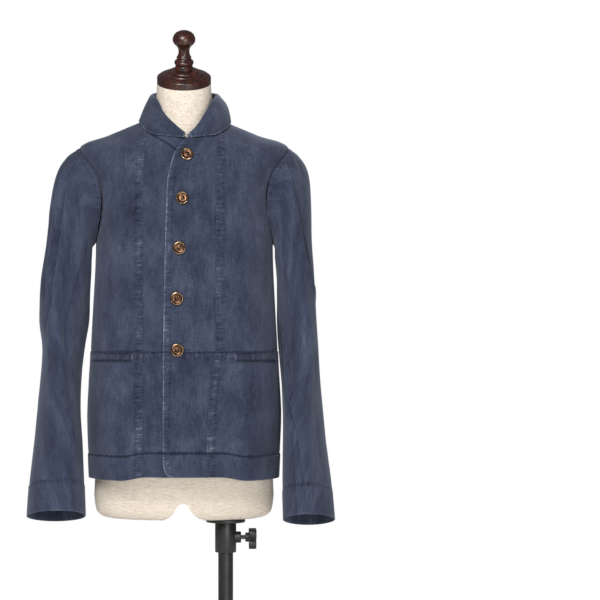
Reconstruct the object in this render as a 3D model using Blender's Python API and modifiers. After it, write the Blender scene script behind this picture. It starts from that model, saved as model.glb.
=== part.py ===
"""A buttoned work jacket worn by a limbless dress form on its pole and base.

Metres, +Z up from the floor, the front faces -Y and the wearer's left is +X.
Every cloth piece is a thin wall. The body panels are cut out of one body
surface, which is lofted through a short table of rings, and each sleeve is
lofted from its armhole through a table of sections down to the cuff.
"""

import math

import bmesh
import bpy
from mathutils import Matrix, Vector

# Cloth and clearances.
CLOTH = 0.0015
SEAM_GAP = 0.0003
UNDERLAP_DEPTH = 0.0024
COLLAR_PLY = 0.0024

# Rings of the jacket's body from the hem to the neckline. "square" below 1
# makes the plan of the ring squarer than an ellipse.
BODY_COLUMNS = ("z_front", "z_side", "z_back", "half_width", "y_side", "y_front", "y_back", "square")
BODY_ROWS = (
    (0.592, 0.592, 0.598, 0.159, 0.012, -0.120, 0.155, 0.88),  # hem
    (0.627, 0.627, 0.636, 0.161, 0.012, -0.118, 0.151, 0.88),  # top of the hem turn-up
    (0.700, 0.700, 0.710, 0.163, 0.012, -0.114, 0.143, 0.88),  # hip
    (0.803, 0.803, 0.810, 0.157, 0.012, -0.107, 0.131, 0.88),  # waist seam
    (0.900, 0.900, 0.907, 0.152, 0.013, -0.108, 0.138, 0.88),  # ribs
    (0.985, 0.985, 0.992, 0.149, 0.015, -0.107, 0.143, 0.88),  # underarm
    (1.050, 1.050, 1.060, 0.152, 0.017, -0.099, 0.141, 0.90),  # chest
    (1.090, 1.100, 1.115, 0.162, 0.020, -0.088, 0.135, 0.93),  # upper chest
    (1.120, 1.145, 1.160, 0.176, 0.023, -0.080, 0.128, 0.96),  # shoulder tip
    (1.141, 1.167, 1.190, 0.125, 0.026, -0.072, 0.120, 0.98),  # middle of the shoulder
    (1.160, 1.190, 1.212, 0.070, 0.030, -0.063, 0.108, 1.00),  # neckline
)
HEM, WAIST, UNDERARM, TIP, NECKLINE = 0.0, 3.0, 5.0, 8.0, 10.0
# The hem rises a little across the front and is level again at this ring.
HEM_RISE, HEM_RISE_TOP = 0.007, 2.4

# Seams on the body, as angles from the side (0) to the centre front (-90)
# or to the centre back (90).
ARMHOLE_ANGLE = 28.0
PRINCESS_LINES = {
    1: ((0.0, 0.0355), (1.5, 0.0370), (2.2, 0.0405), (2.6, 0.0450), (3.0, 0.0520), (5.0, 0.0525), (10.0, 0.0560)),
    -1: ((0.0, 0.0680), (5.0, 0.0685), (8.0, 0.0660), (10.0, 0.0600)),
}
BACK_SEAM_ANGLE = 61.0
BACK_SEAM_END = 6.25
BACK_VENT_STEP = 0.22
LEFT_EDGE = ((0.0, -0.0165), (0.05, -0.0215), (0.12, -0.0255), (0.25, -0.0293), (0.45, -0.0322),
             (0.7, -0.0339), (1.0, -0.0345), (3.0, -0.0345),
             (5.0, -0.031), (7.0, -0.027), (8.0, -0.020), (8.6, -0.015), (9.3, -0.004),
             (10.0, 0.0085))
RIGHT_EDGE = ((0.0, -0.010), (0.3, -0.018), (8.0, -0.018), (9.0, -0.013), (10.0, -0.003))

# Rows of points up the body: the armhole's are spread evenly round its oval.
SKIRT_ROWS = (0.0, 0.12, 0.28, 0.6, 1.0, 1.7, 2.4, 2.84, 3.0)
RIB_ROWS = (3.0, 3.5, 4.0, 4.5, 5.0)
ARMHOLE_STEPS = 14
EXTRA_ROWS = (5.9, 6.15, 6.23)
SHOULDER_ROWS = (8.0, 8.35, 8.8, 9.2, 9.6, 10.0)

# How far the dress form's surface lies inside the cloth, a row for each ring.
EASE_COLUMNS = ("side", "front", "back")
EASE_ROWS = (
    (0.009, 0.016, 0.040), (0.009, 0.014, 0.036), (0.012, 0.014, 0.027), (0.030, 0.024, 0.026),
    (0.022, 0.018, 0.022), (0.012, 0.007, 0.018), (0.010, 0.007, 0.012), (0.010, 0.0065, 0.008),
    (0.008, 0.0060, 0.0050), (0.0019, 0.0060, 0.0050), (0.010, 0.014, 0.018),
)
LEAST_EASE = 0.0019

# Sleeve sections from below the armhole to the cuff: the outer and the inner
# end of each section in X and Z, its front and back in Y, how far its front
# end turns in, and how much higher its front is than its back.
SLEEVE_COLUMNS = ("outer_x", "outer_z", "inner_x", "inner_z", "front_y", "back_y", "turn_in", "rise")
LEFT_SLEEVE = (
    (0.193, 1.131, 0.1560, 0.972, -0.049, 0.086, 0.014, 0.000),
    (0.2075, 1.104, 0.1570, 0.952, -0.049, 0.094, 0.016, 0.000),
    (0.2145, 1.050, 0.1575, 0.925, -0.047, 0.100, 0.010, 0.004),
    (0.217, 0.985, 0.1570, 0.892, -0.047, 0.101, 0.003, 0.008),
    (0.2205, 0.920, 0.1575, 0.855, -0.053, 0.096, -0.003, 0.012),
    (0.223, 0.855, 0.1600, 0.815, -0.062, 0.088, -0.004, 0.016),
    (0.227, 0.790, 0.1635, 0.765, -0.073, 0.083, -0.002, 0.020),
    (0.232, 0.722, 0.1655, 0.705, -0.085, 0.071, 0.006, 0.022),
    (0.238, 0.655, 0.1650, 0.645, -0.097, 0.050, 0.008, 0.024),
    (0.2445, 0.588, 0.1640, 0.583, -0.105, 0.026, 0.006, 0.025),
    (0.2495, 0.525, 0.1650, 0.524, -0.106, 0.008, 0.004, 0.028),
)
RIGHT_SLEEVE = (
    (0.196, 1.131, 0.1560, 0.972, -0.052, 0.082, 0.014, 0.000),
    (0.214, 1.100, 0.1575, 0.952, -0.056, 0.085, 0.016, 0.000),
    (0.2255, 1.042, 0.1570, 0.925, -0.059, 0.087, 0.012, 0.004),
    (0.231, 0.980, 0.1580, 0.892, -0.061, 0.087, 0.002, 0.008),
    (0.238, 0.918, 0.1600, 0.855, -0.067, 0.083, -0.006, 0.012),
    (0.241, 0.855, 0.1665, 0.815, -0.074, 0.077, -0.006, 0.016),
    (0.2365, 0.800, 0.1710, 0.765, -0.082, 0.073, -0.001, 0.020),
    (0.2445, 0.722, 0.1720, 0.705, -0.090, 0.065, 0.004, 0.022),
    (0.250, 0.655, 0.1690, 0.645, -0.099, 0.048, 0.008, 0.024),
    (0.2565, 0.592, 0.1660, 0.587, -0.105, 0.026, 0.008, 0.025),
    (0.2600, 0.531, 0.1640, 0.530, -0.106, 0.008, 0.008, 0.028),
)
SLEEVE_GAP, SLEEVE_SEAM = 0.00036, 0.0004
CAP_SHARE = 0.35
SLEEVE_RINGS = (0.0, 0.22, 0.55, 1.0, 1.6, 2.2, 3.0, 4.0, 5.0, 6.0, 7.0, 8.0, 9.0, 10.0, 11.0)
FOREARM_SEAM, HINDARM_SEAM = 122.0, 260.0

# Collar stations from the front end (0) round to the centre back (8): where
# its seam meets the neckline, its roll line, and where its edge lies on the body.
COLLAR_COLUMNS = ("seam_angle", "roll_x", "roll_y", "roll_z", "edge_angle", "edge_ring")
COLLAR_ROWS = (
    (-86.0, 0.0040, -0.0650, 1.1640, -79.0, 9.93),
    (-72.0, 0.0170, -0.0590, 1.1755, -69.5, 9.72),
    (-55.0, 0.0300, -0.0460, 1.1920, -58.0, 9.57),
    (-36.0, 0.0400, -0.0270, 1.2080, -43.0, 9.60),
    (-16.0, 0.0480, -0.0050, 1.2240, -27.0, 9.70),
    (5.0, 0.0535, 0.0220, 1.2325, -4.0, 9.80),
    (30.0, 0.0515, 0.0530, 1.2385, 27.0, 9.84),
    (58.0, 0.0350, 0.0800, 1.2430, 57.0, 9.88),
    (90.0, 0.0000, 0.0930, 1.2440, 90.0, 9.88),
)
COLLAR_CENTRE_SHIFT = 0.0055
COLLAR_TURN = 0.0062
COLLAR_ROLL_DROP, COLLAR_ROLL_ROUND = 0.0022, 0.0012
NECK_MIDDLE_Y = 0.026
COLLAR_BULGE = 0.0045
COLLAR_CLEAR = 0.0016
COLLAR_SEAM_RISE = 0.0017
COLLAR_RIGHT_IN, COLLAR_RIGHT_UP, COLLAR_RIGHT_FLAT = 0.0030, 0.07, 0.8

# Buttons down the left front: centre X and Z of each.
BUTTONS = ((0.0049, 1.1285), (-0.0029, 1.0560), (-0.0077, 0.9740), (-0.0116, 0.8913), (-0.0109, 0.8070))
BUTTON_RADIUS, BUTTON_THICK = 0.0110, 0.0036

WELT_X = (0.084, 0.150)
WELT_TOP, WELT_BOTTOM = 2.985, 2.86
WELT_LIFT = 0.0006

# Dress form below the hem and its neck: rings of the rounded bottom as Z, half
# its width, front and back, then the notch between the thighs as X and Z.
FORM_BOTTOM = 0.522
FORM_BOTTOM_ROWS = (
    (0.522, 0.1230, 0.060, 0.064), (0.5245, 0.1350, 0.066, 0.070), (0.5300, 0.1435, 0.071, 0.076),
    (0.5385, 0.1485, 0.076, 0.082), (0.5600, 0.1515, 0.086, 0.090),
)
FORM_MIDDLE_Y = 0.018
NOTCH = ((-0.0330, 0.500), (-0.0325, 0.5215), (-0.0250, 0.5270), (-0.0180, 0.5340), (-0.0140, 0.5420),
         (-0.0090, 0.5490), (-0.0020, 0.5520), (0.0050, 0.5490), (0.0100, 0.5420), (0.0150, 0.5340),
         (0.0230, 0.5270), (0.0325, 0.5215), (0.0330, 0.500))
NECK_RADIUS, NECK_TILT = 0.0455, 22.0
CAP_CENTRE = (0.0, 0.0204, 1.2557)

# Stand.
POLE_X, POLE_RADIUS, POLE_TOP = 0.070, 0.0125, 0.770
BORE_CLEARANCE = 0.0008
BASE_RADIUS, BASE_THICK = 0.170, 0.009
HUB_RADIUS, HUB_TOP = 0.026, 0.075
SOCKET_RADIUS, SOCKET_BOTTOM = 0.0178, 0.4655
FLANGE_RADIUS, FLANGE_THICK = 0.0328, 0.0057
CLAMP_Z = 0.4905
BOSS_RADIUS, BOSS_END_X = 0.0095, 0.0958
SCREW_RADIUS = 0.0040
KNOB_HUB_RADIUS, KNOB_HUB_X, KNOB_WING_X = 0.0078, 0.1030, 0.1090
KNOB_WING_END_X, KNOB_LOBE_RADIUS, KNOB_LOBE_REACH = 0.1215, 0.0085, 0.0115

SIDES = {"left": 1, "right": -1}

for old in list(bpy.data.objects):
    bpy.data.objects.remove(old, do_unlink=True)
PARTS = bpy.data.collections.new("shawl_collar_jacket")
CUTTERS = bpy.data.collections.new("cutters")
for collection in (PARTS, CUTTERS):
    bpy.context.scene.collection.children.link(collection)


def finish(name, colour, roughness, metallic=0.0):
    """A plain material for one kind of piece."""
    made = bpy.data.materials.new(name)
    made.use_nodes = True
    shader = made.node_tree.nodes["Principled BSDF"]
    shader.inputs["Base Color"].default_value = (*colour, 1.0)
    shader.inputs["Roughness"].default_value = roughness
    shader.inputs["Metallic"].default_value = metallic
    return made


CLOTH_FINISH = finish("blue_cotton", (0.075, 0.098, 0.165), 0.9)
LINEN_FINISH = finish("form_linen", (0.66, 0.60, 0.50), 0.9)
WOOD_FINISH = finish("dark_wood", (0.06, 0.014, 0.008), 0.35)
BRASS_FINISH = finish("brass", (0.45, 0.30, 0.16), 0.3, 1.0)
BLACK_FINISH = finish("black_steel", (0.012, 0.012, 0.013), 0.4, 0.6)
PLASTIC_FINISH = finish("black_plastic", (0.010, 0.010, 0.011), 0.45)
SCREW_FINISH = finish("zinc", (0.6, 0.6, 0.6), 0.3, 1.0)


def part(name, mesh, material):
    """Put a finished mesh in the parts' collection."""
    made = bpy.data.objects.new(name, mesh)
    mesh.materials.append(material)
    PARTS.objects.link(made)
    return made


def cutter(name, mesh):
    """Put a mesh that only cuts or joins others in the cutters' collection."""
    made = bpy.data.objects.new(name, mesh)
    made.hide_render = True
    made.display_type = "WIRE"
    CUTTERS.objects.link(made)
    return made


def mesh_of(name, points, faces):
    """A closed mesh whose faces all point outwards."""
    mesh = bpy.data.meshes.new(name)
    mesh.from_pydata([tuple(p) for p in points], [], faces)
    work = bmesh.new()
    work.from_mesh(mesh)
    bmesh.ops.recalc_face_normals(work, faces=work.faces)
    work.to_mesh(mesh)
    work.free()
    mesh.shade_smooth()
    mesh.set_sharp_from_angle(angle=math.radians(40))
    return mesh


def curve_through(rows, at):
    """The columns of a table at a fractional row, on a smooth curve through its rows."""
    low = min(max(int(math.floor(at)), 0), len(rows) - 2)
    f = at - low
    before, here = rows[max(low - 1, 0)], rows[low]
    there, after = rows[low + 1], rows[min(low + 2, len(rows) - 1)]
    return [
        0.5 * (2 * q + (r - p) * f + (2 * p - 5 * q + 4 * r - s) * f**2 + (3 * q - p - 3 * r + s) * f**3)
        for p, q, r, s in zip(before, here, there, after)
    ]


def line_through(points, at):
    """The value at a place on a line drawn straight from point to point."""
    for (at_low, low), (at_high, high) in zip(points, points[1:]):
        if at <= at_high:
            return low + (high - low) * max(0.0, at - at_low) / (at_high - at_low)
    return points[-1][1]


def smooth_step(value, start, end):
    """0 before start, 1 after end, and an even curve between them."""
    f = min(1.0, max(0.0, (value - start) / (end - start)))
    return f * f * (3 - 2 * f)


def body_row(ring):
    return dict(zip(BODY_COLUMNS, curve_through(BODY_ROWS, ring)))


def body_surface(side, angle, ring):
    """A point of the smooth body, before folds."""
    row = body_row(ring)
    across, along = math.cos(math.radians(angle)), math.sin(math.radians(angle))
    end_y, end_z = (row["y_front"], row["z_front"]) if along < 0 else (row["y_back"], row["z_back"])
    x = row["half_width"] * math.copysign(abs(across) ** row["square"], across)
    y = row["y_side"] + (end_y - row["y_side"]) * abs(along) ** row["square"]
    z = row["z_side"] + (end_z - row["z_side"]) * along * along
    if along < 0 and ring < HEM_RISE_TOP:
        z += HEM_RISE * smooth_step(-abs(x), -0.105, -0.060) * smooth_step(-ring, -HEM_RISE_TOP, -1.1)
    return Vector((side * x, y, z))


def body_normal(side, angle, ring):
    turn = body_surface(side, angle + 1.0, ring) - body_surface(side, angle - 1.0, ring)
    climb = body_surface(side, angle, ring + 0.03) - body_surface(side, angle, ring - 0.03)
    return (turn.cross(climb) * side).normalized()


def angle_at(x, ring):
    """The angle on the body's front half where its own X is x, past -90 if negative."""
    row = body_row(ring)
    across = min(1.0, abs(x) / row["half_width"]) ** (1 / row["square"])
    turn = math.degrees(math.acos(across))
    return -turn if x >= 0 else turn - 180.0


# Large folds of the body: side, where each starts and ends as angle and
# ring, half its width and its height out of the cloth.
BODY_FOLDS = (
    (1, 66, 7.4, 68, 2.6, 0.024, 0.0055),
    (-1, 62, 7.4, 64, 2.6, 0.030, 0.0075),
    (1, 48, 5.6, 52, 0.6, 0.014, -0.0040),
    (-1, 48, 5.6, 52, 0.6, 0.014, -0.0040),
    (1, 68, 2.0, 68, -6.0, 0.028, 0.0170),
    (-1, 69, 2.0, 69, -6.0, 0.028, 0.0200),
    (1, -40, 4.6, -44, 3.2, 0.012, -0.0030),
    (-1, -38, 4.8, -43, 3.2, 0.012, -0.0035),
)


def body_fold(side, angle, ring):
    """How far the cloth stands out of the smooth body in its large folds."""
    total = 0.0
    for fold_side, a0, r0, a1, r1, half_width, height in BODY_FOLDS:
        if fold_side != side:
            continue
        start = Vector((a0 * 0.0026, r0 * 0.085))
        run = Vector((a1 * 0.0026, r1 * 0.085)) - start
        here = Vector((angle * 0.0026, ring * 0.085)) - start
        along = here.dot(run) / run.length_squared
        off = (here - run * along).length
        taper = smooth_step(along, -0.15, 0.25) * smooth_step(-along, -1.15, -0.75)
        total += height * taper * math.exp(-((off / half_width) ** 2))
    return total


def cloth_point(side, angle, ring, depth=0.0):
    """A point of the body's cloth, depth below its outer face."""
    normal = body_normal(side, angle, ring)
    return body_surface(side, angle, ring) + normal * (body_fold(side, angle, ring) - depth)


def wall(name, outer, inner, material):
    """A closed thin wall between two grids of points of the same size."""
    high, wide = len(outer), len(outer[0])
    points = [p for row in outer for p in row] + [p for row in inner for p in row]
    back = high * wide

    def quad(a, b, c, d):
        return (a[0] * wide + a[1], b[0] * wide + b[1], c[0] * wide + c[1], d[0] * wide + d[1])

    faces = []
    for i in range(high - 1):
        for j in range(wide - 1):
            face = quad((i, j), (i, j + 1), (i + 1, j + 1), (i + 1, j))
            faces.append(face)
            faces.append(tuple(back + k for k in reversed(face)))
    rim = [(0, j) for j in range(wide)] + [(i, wide - 1) for i in range(1, high)]
    rim += [(high - 1, j) for j in range(wide - 2, -1, -1)] + [(i, 0) for i in range(high - 2, 0, -1)]
    order = [i * wide + j for i, j in rim]
    for here, there in zip(order, order[1:] + order[:1]):
        faces.append((there, here, back + here, back + there))
    return part(name, mesh_of(name, points, faces), material)


def drawn_in(grid, normals, gap, edges="lrbt"):
    """How far each edge point of a grid moves into the piece to leave a seam gap."""
    high, wide = len(grid), len(grid[0])
    moves = [[Vector() for _ in range(wide)] for _ in range(high)]

    def pull(i, j, before, after, inside):
        run = grid[after[0]][after[1]] - grid[before[0]][before[1]]
        inward = normals[i][j].cross(run).normalized()
        if inward.dot(grid[inside[0]][inside[1]] - grid[i][j]) < 0:
            inward = -inward
        moves[i][j] += inward * gap

    for i in range(high):
        low, top = max(i - 1, 0), min(i + 1, high - 1)
        if "l" in edges:
            pull(i, 0, (low, 0), (top, 0), (i, 1))
        if "r" in edges:
            pull(i, wide - 1, (low, wide - 1), (top, wide - 1), (i, wide - 2))
    for j in range(wide):
        low, top = max(j - 1, 0), min(j + 1, wide - 1)
        if "b" in edges:
            pull(0, j, (0, low), (0, top), (1, j))
        if "t" in edges:
            pull(high - 1, j, (high - 1, low), (high - 1, top), (high - 2, j))
    return moves


def no_depth(angle, ring):
    return 0.0


def body_panel(name, side, rings, near, far, columns, depth=no_depth):
    """A panel of the body between two seams, each an angle for every ring."""
    places = [
        [(near(ring) + (far(ring) - near(ring)) * j / columns, ring) for j in range(columns + 1)]
        for ring in rings
    ]
    outer = [[cloth_point(side, a, r, depth(a, r)) for a, r in row] for row in places]
    inner = [[cloth_point(side, a, r, depth(a, r) + CLOTH) for a, r in row] for row in places]
    normals = [[body_normal(side, a, r) for a, r in row] for row in places]
    moves = drawn_in(outer, normals, SEAM_GAP / 2)
    for i in range(len(places)):
        for j in range(columns + 1):
            outer[i][j] += moves[i][j]
            inner[i][j] += moves[i][j]
    return wall(name, outer, inner, CLOTH_FINISH)


# Seams as an angle for each ring.
def side_seam(ring):
    return 0.0


def armhole(ring):
    """Half the armhole's width at a ring, as an angle."""
    middle, half = (UNDERARM + TIP) / 2, (TIP - UNDERARM) / 2
    return ARMHOLE_ANGLE * math.sqrt(max(0.0, 1.0 - ((ring - middle) / half) ** 2))


def front_armhole(ring):
    return -armhole(ring)


def back_seam(ring):
    """The curved side-back seam, which ends on the armhole."""
    past = max(0.0, (ring - 4.0) / (BACK_SEAM_END - 4.0))
    return BACK_SEAM_ANGLE - (BACK_SEAM_ANGLE - ARMHOLE_ANGLE + 0.3) * past**3.2


def back_near_edge(ring):
    return back_seam(ring) if ring < BACK_SEAM_END - 0.01 else armhole(ring)


def centre_back(ring):
    return 90.0


def left_princess(ring):
    return angle_at(line_through(PRINCESS_LINES[1], ring), ring)


def right_princess(ring):
    return angle_at(line_through(PRINCESS_LINES[-1], ring), ring)


def left_edge(ring):
    return angle_at(line_through(LEFT_EDGE, ring), ring)


def right_edge(ring):
    return angle_at(line_through(RIGHT_EDGE, ring), ring)


def underlap(angle, ring):
    """How deep the right front lies under the left one."""
    x = body_surface(1, angle, ring).x
    edge = -line_through(LEFT_EDGE, ring)
    return UNDERLAP_DEPTH * smooth_step(-x, -edge - 0.017, -edge - 0.006)


ARMHOLE_ROWS = sorted(
    [
        (UNDERARM + TIP) / 2 - (TIP - UNDERARM) / 2 * math.cos(math.pi * k / ARMHOLE_STEPS)
        for k in range(ARMHOLE_STEPS + 1)
    ]
    + list(EXTRA_ROWS)
)
UPPER_ROWS = list(RIB_ROWS[:-1]) + ARMHOLE_ROWS + list(SHOULDER_ROWS[1:])
SIDE_ROWS = [r for r in UPPER_ROWS if r <= BACK_SEAM_END]
BACK_ROWS = [BACK_VENT_STEP, 0.6] + [r for r in SKIRT_ROWS if r >= 1.0][:-1] + UPPER_ROWS

for word, side in SIDES.items():
    front_depth = underlap if word == "right" else no_depth
    front_edge = right_edge if word == "right" else left_edge
    princess_seam = right_princess if word == "right" else left_princess
    body_panel(f"front_centre_{word}", side, UPPER_ROWS, front_edge, princess_seam, 6, front_depth)
    body_panel(f"front_side_{word}", side, UPPER_ROWS, princess_seam, front_armhole, 5)
    body_panel(f"underarm_{word}", side, SIDE_ROWS, armhole, back_seam, 5)
    body_panel(f"back_{word}", side, BACK_ROWS, back_near_edge, centre_back, 6)
    body_panel(f"front_skirt_{word}", side, SKIRT_ROWS, front_edge, princess_seam, 4, front_depth)
    body_panel(f"hip_skirt_{word}", side, SKIRT_ROWS, princess_seam, side_seam, 8)
    body_panel(f"side_skirt_{word}", side, SKIRT_ROWS, side_seam, back_seam, 5)


def welt(name, side):
    """The strip along a pocket's mouth, on the skirt just below the waist seam."""
    wide = 11
    places = [
        [
            (angle_at(WELT_X[0] + (WELT_X[1] - WELT_X[0]) * j / wide, ring), ring)
            for j in range(wide + 1)
        ]
        for ring in (WELT_BOTTOM, (WELT_BOTTOM + WELT_TOP) / 2, WELT_TOP)
    ]
    outer = [[cloth_point(side, a, r, -WELT_LIFT - CLOTH) for a, r in row] for row in places]
    inner = [[cloth_point(side, a, r, -WELT_LIFT) for a, r in row] for row in places]
    return wall(name, outer, inner, CLOTH_FINISH)


for word, side in SIDES.items():
    welt(f"pocket_welt_{word}", side)


# Sleeves: the armhole's points, in order from the shoulder tip down the front
# and up the back, each with its angle round the sleeve.
def armhole_places():
    down = [(front_armhole(r), r) for r in reversed(ARMHOLE_ROWS)]
    up = [(armhole(r), r) for r in ARMHOLE_ROWS[1:-1]]
    middle, half = (UNDERARM + TIP) / 2, (TIP - UNDERARM) / 2
    around = []
    for angle, ring in down + up:
        turn = math.degrees(math.acos(max(-1.0, min(1.0, (ring - middle) / half))))
        around.append(turn if angle <= 0 or ring <= UNDERARM else 360.0 - turn)
    return down + up, around


# Large folds of each sleeve: where each starts and ends, as an angle round
# the sleeve and a station down it, half its width in degrees and its height.
SLEEVE_FOLDS = {
    1: (
        (40, 0.7, 46, 3.8, 13, -0.0050),
        (68, 0.9, 70, 4.0, 15, 0.0035),
        (103, 8.2, 97, 11.4, 12, -0.0040),
        (88, 8.0, 72, 11.4, 16, 0.0030),
        (-60, 2.0, -75, 7.0, 18, 0.0050),
        (-35, 3.0, -40, 9.0, 16, -0.0040),
    ),
    -1: (
        (10, 1.4, 32, 5.6, 11, 0.0030),
        (30, 0.7, 64, 5.6, 13, -0.0050),
        (54, 0.7, 88, 5.6, 14, 0.0040),
        (84, 2.4, 126, 7.8, 14, -0.0035),
        (-60, 2.0, -75, 7.0, 18, 0.0050),
        (-35, 3.0, -40, 9.0, 16, -0.0040),
    ),
}


def sleeve_fold(side, turn, station):
    total = 0.0
    for t0, s0, t1, s1, half_width, height in SLEEVE_FOLDS[side]:
        along = (station - s0) / (s1 - s0)
        off = (turn - (t0 + (t1 - t0) * along) + 180.0) % 360.0 - 180.0
        taper = smooth_step(along, -0.12, 0.2) * smooth_step(-along, -1.12, -0.8)
        total += height * taper * math.exp(-((off / half_width) ** 2))
    return total


def sleeve_section(side, row, turn):
    """A point of one section of the sleeve."""
    s = dict(zip(SLEEVE_COLUMNS, row))
    out = Vector(((s["outer_x"] - s["inner_x"]) / 2, 0.0, (s["outer_z"] - s["inner_z"]) / 2))
    centre = Vector((
        (s["outer_x"] + s["inner_x"]) / 2,
        (s["front_y"] + s["back_y"]) / 2,
        (s["outer_z"] + s["inner_z"]) / 2,
    ))
    forward = Vector((-s["turn_in"], (s["front_y"] - s["back_y"]) / 2, s["rise"] / 2))
    place = centre + out * math.cos(math.radians(turn)) + forward * math.sin(math.radians(turn))
    return Vector((side * place.x, place.y, place.z))


def sleeve(word, side, table):
    """The two walls of a sleeve: the top sleeve and the under sleeve."""
    places, turns = armhole_places()
    count = len(places)
    loop = [cloth_point(side, a, r) for a, r in places]
    loop_normals = [body_normal(side, a, r) for a, r in places]
    middle = sum(loop, Vector()) / count
    for k in range(count):
        run = loop[(k + 1) % count] - loop[k - 1]
        inward = loop_normals[k].cross(run).normalized()
        if inward.dot(middle - loop[k]) < 0:
            inward = -inward
        loop[k] = loop[k] + inward * SLEEVE_GAP
    stations = [[sleeve_section(side, row, turn) for turn in turns] for row in table]
    rings = []
    for station in SLEEVE_RINGS:
        through = [list(zip(*ring)) for ring in [loop] + stations]
        ring = [Vector(curve_through([[c[k] for c in t] for t in through], station)) for k in range(count)]
        rings.append(ring)
    normals = []
    for i, ring in enumerate(rings):
        below, above = rings[min(i + 1, len(rings) - 1)], rings[max(i - 1, 0)]
        centre = sum(ring, Vector()) / count
        row = []
        for k in range(count):
            normal = (ring[(k + 1) % count] - ring[k - 1]).cross(below[k] - above[k]).normalized()
            if normal.dot(ring[k] - centre) < 0:
                normal = -normal
            over = max(0.0, math.cos(math.radians(turns[k])) + CAP_SHARE) / (1 + CAP_SHARE)
            if i == 0:
                normal = normal.lerp(loop_normals[k], over).normalized()
            row.append(normal)
        normals.append(row)
    for i, ring in enumerate(rings):
        for k in range(count):
            ring[k] = ring[k] + normals[i][k] * sleeve_fold(side, turns[k], SLEEVE_RINGS[i])
    hind = min(range(count), key=lambda k: abs(turns[k] - HINDARM_SEAM))
    fore = min(range(count), key=lambda k: abs(turns[k] - FOREARM_SEAM))
    top_order = [k % count for k in range(hind, count + fore + 1)]
    under_order = list(range(fore, hind + 1))
    for piece, order in (("top", top_order), ("under", under_order)):
        outer = [[rings[i][k] for k in order] for i in range(len(rings))]
        chosen = [[normals[i][k] for k in order] for i in range(len(rings))]
        inner = [[o - n * CLOTH for o, n in zip(a, b)] for a, b in zip(outer, chosen)]
        moves = drawn_in(outer, chosen, SLEEVE_SEAM / 2, "lr")
        for i in range(len(rings)):
            for j in range(len(order)):
                outer[i][j] += moves[i][j]
                inner[i][j] += moves[i][j]
        wall(f"sleeve_{piece}_{word}", outer, inner, CLOTH_FINISH)


sleeve("left", 1, LEFT_SLEEVE)
sleeve("right", -1, RIGHT_SLEEVE)


def collar_station(side, at):
    """The middle line of the collar's cloth at one station, from seam to edge."""
    row = dict(zip(COLLAR_COLUMNS, curve_through(COLLAR_ROWS, at)))
    pressed = smooth_step(at, 2.0, 4.0) * smooth_step(-at, -8.0, -6.0) if side < 0 else 0.0
    shift = Vector((COLLAR_CENTRE_SHIFT * (1 - smooth_step(at, 0.0, 3.0)), 0.0, 0.0))
    seam = cloth_point(side, row["seam_angle"], NECKLINE, CLOTH / 2)
    climb = seam - cloth_point(side, row["seam_angle"], NECKLINE - 0.05, CLOTH / 2)
    seam += climb.normalized() * COLLAR_SEAM_RISE
    roll = Vector((side * (row["roll_x"] - COLLAR_RIGHT_IN * pressed), row["roll_y"], row["roll_z"]))
    lift = COLLAR_PLY / 2 + COLLAR_CLEAR
    edge = cloth_point(side, row["edge_angle"], row["edge_ring"] + COLLAR_RIGHT_UP * pressed, -lift)
    if at < 3.0:
        roll, edge = roll + shift, edge + shift
    flat_out = Vector((roll.x, roll.y - NECK_MIDDLE_Y, 0.0)).normalized()
    turn = min(COLLAR_TURN, 0.45 * (edge - roll).length)
    over = roll + flat_out * turn
    bulge = (flat_out + Vector((0.0, 0.0, 0.6))) * COLLAR_BULGE * min(1.0, (edge - over).length / 0.03)
    bulge *= 1.0 - COLLAR_RIGHT_FLAT * pressed
    return [
        seam,
        seam.lerp(roll, 0.5),
        roll - Vector((0.0, 0.0, COLLAR_ROLL_DROP)),
        roll.lerp(over, 0.5) + Vector((0.0, 0.0, COLLAR_ROLL_ROUND)),
        over - Vector((0.0, 0.0, COLLAR_ROLL_ROUND)),
        over.lerp(edge, 0.38) + bulge,
        over.lerp(edge, 0.72) + bulge * 0.75,
        edge,
    ]


def collar():
    """The turned-down collar: one wall folded over along its roll line."""
    stations = [collar_station(1, 0.5 * k) for k in range(17)]
    stations += [collar_station(-1, 8.0 - 0.5 * k) for k in range(1, 17)]
    outer, inner = [], []
    for i, row in enumerate(stations):
        before, after = stations[max(i - 1, 0)], stations[min(i + 1, len(stations) - 1)]
        outs, ins = [], []
        for j, place in enumerate(row):
            along = after[j] - before[j]
            across = row[min(j + 1, len(row) - 1)] - row[max(j - 1, 0)]
            normal = across.cross(along).normalized()
            outs.append(place + normal * COLLAR_PLY / 2)
            ins.append(place - normal * COLLAR_PLY / 2)
        outer.append(outs)
        inner.append(ins)
    return wall("collar", outer, inner, CLOTH_FINISH)


collar()


def turned(name, profile, steps, material, place=None):
    """A round piece: a profile of radius and height turned about its own Z."""
    mesh = bpy.data.meshes.new(name)
    points = [(radius, 0.0, height) for radius, height in profile]
    mesh.from_pydata(points, [(k, k + 1) for k in range(len(points) - 1)], [])
    guide = cutter(name + "_profile", mesh)
    screw = guide.modifiers.new("turn", "SCREW")
    screw.steps = steps
    screw.render_steps = steps
    screw.use_merge_vertices = True
    screw.merge_threshold = 0.00005
    bpy.context.view_layer.update()
    solid = bpy.data.meshes.new_from_object(guide.evaluated_get(bpy.context.evaluated_depsgraph_get()))
    bpy.data.objects.remove(guide, do_unlink=True)
    work = bmesh.new()
    work.from_mesh(solid)
    bmesh.ops.remove_doubles(work, verts=work.verts, dist=0.00005)
    bmesh.ops.recalc_face_normals(work, faces=work.faces)
    work.to_mesh(solid)
    work.free()
    if place is not None:
        solid.transform(place)
    solid.materials.clear()
    solid.shade_smooth()
    solid.set_sharp_from_angle(angle=math.radians(35))
    return part(name, solid, material)


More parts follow.
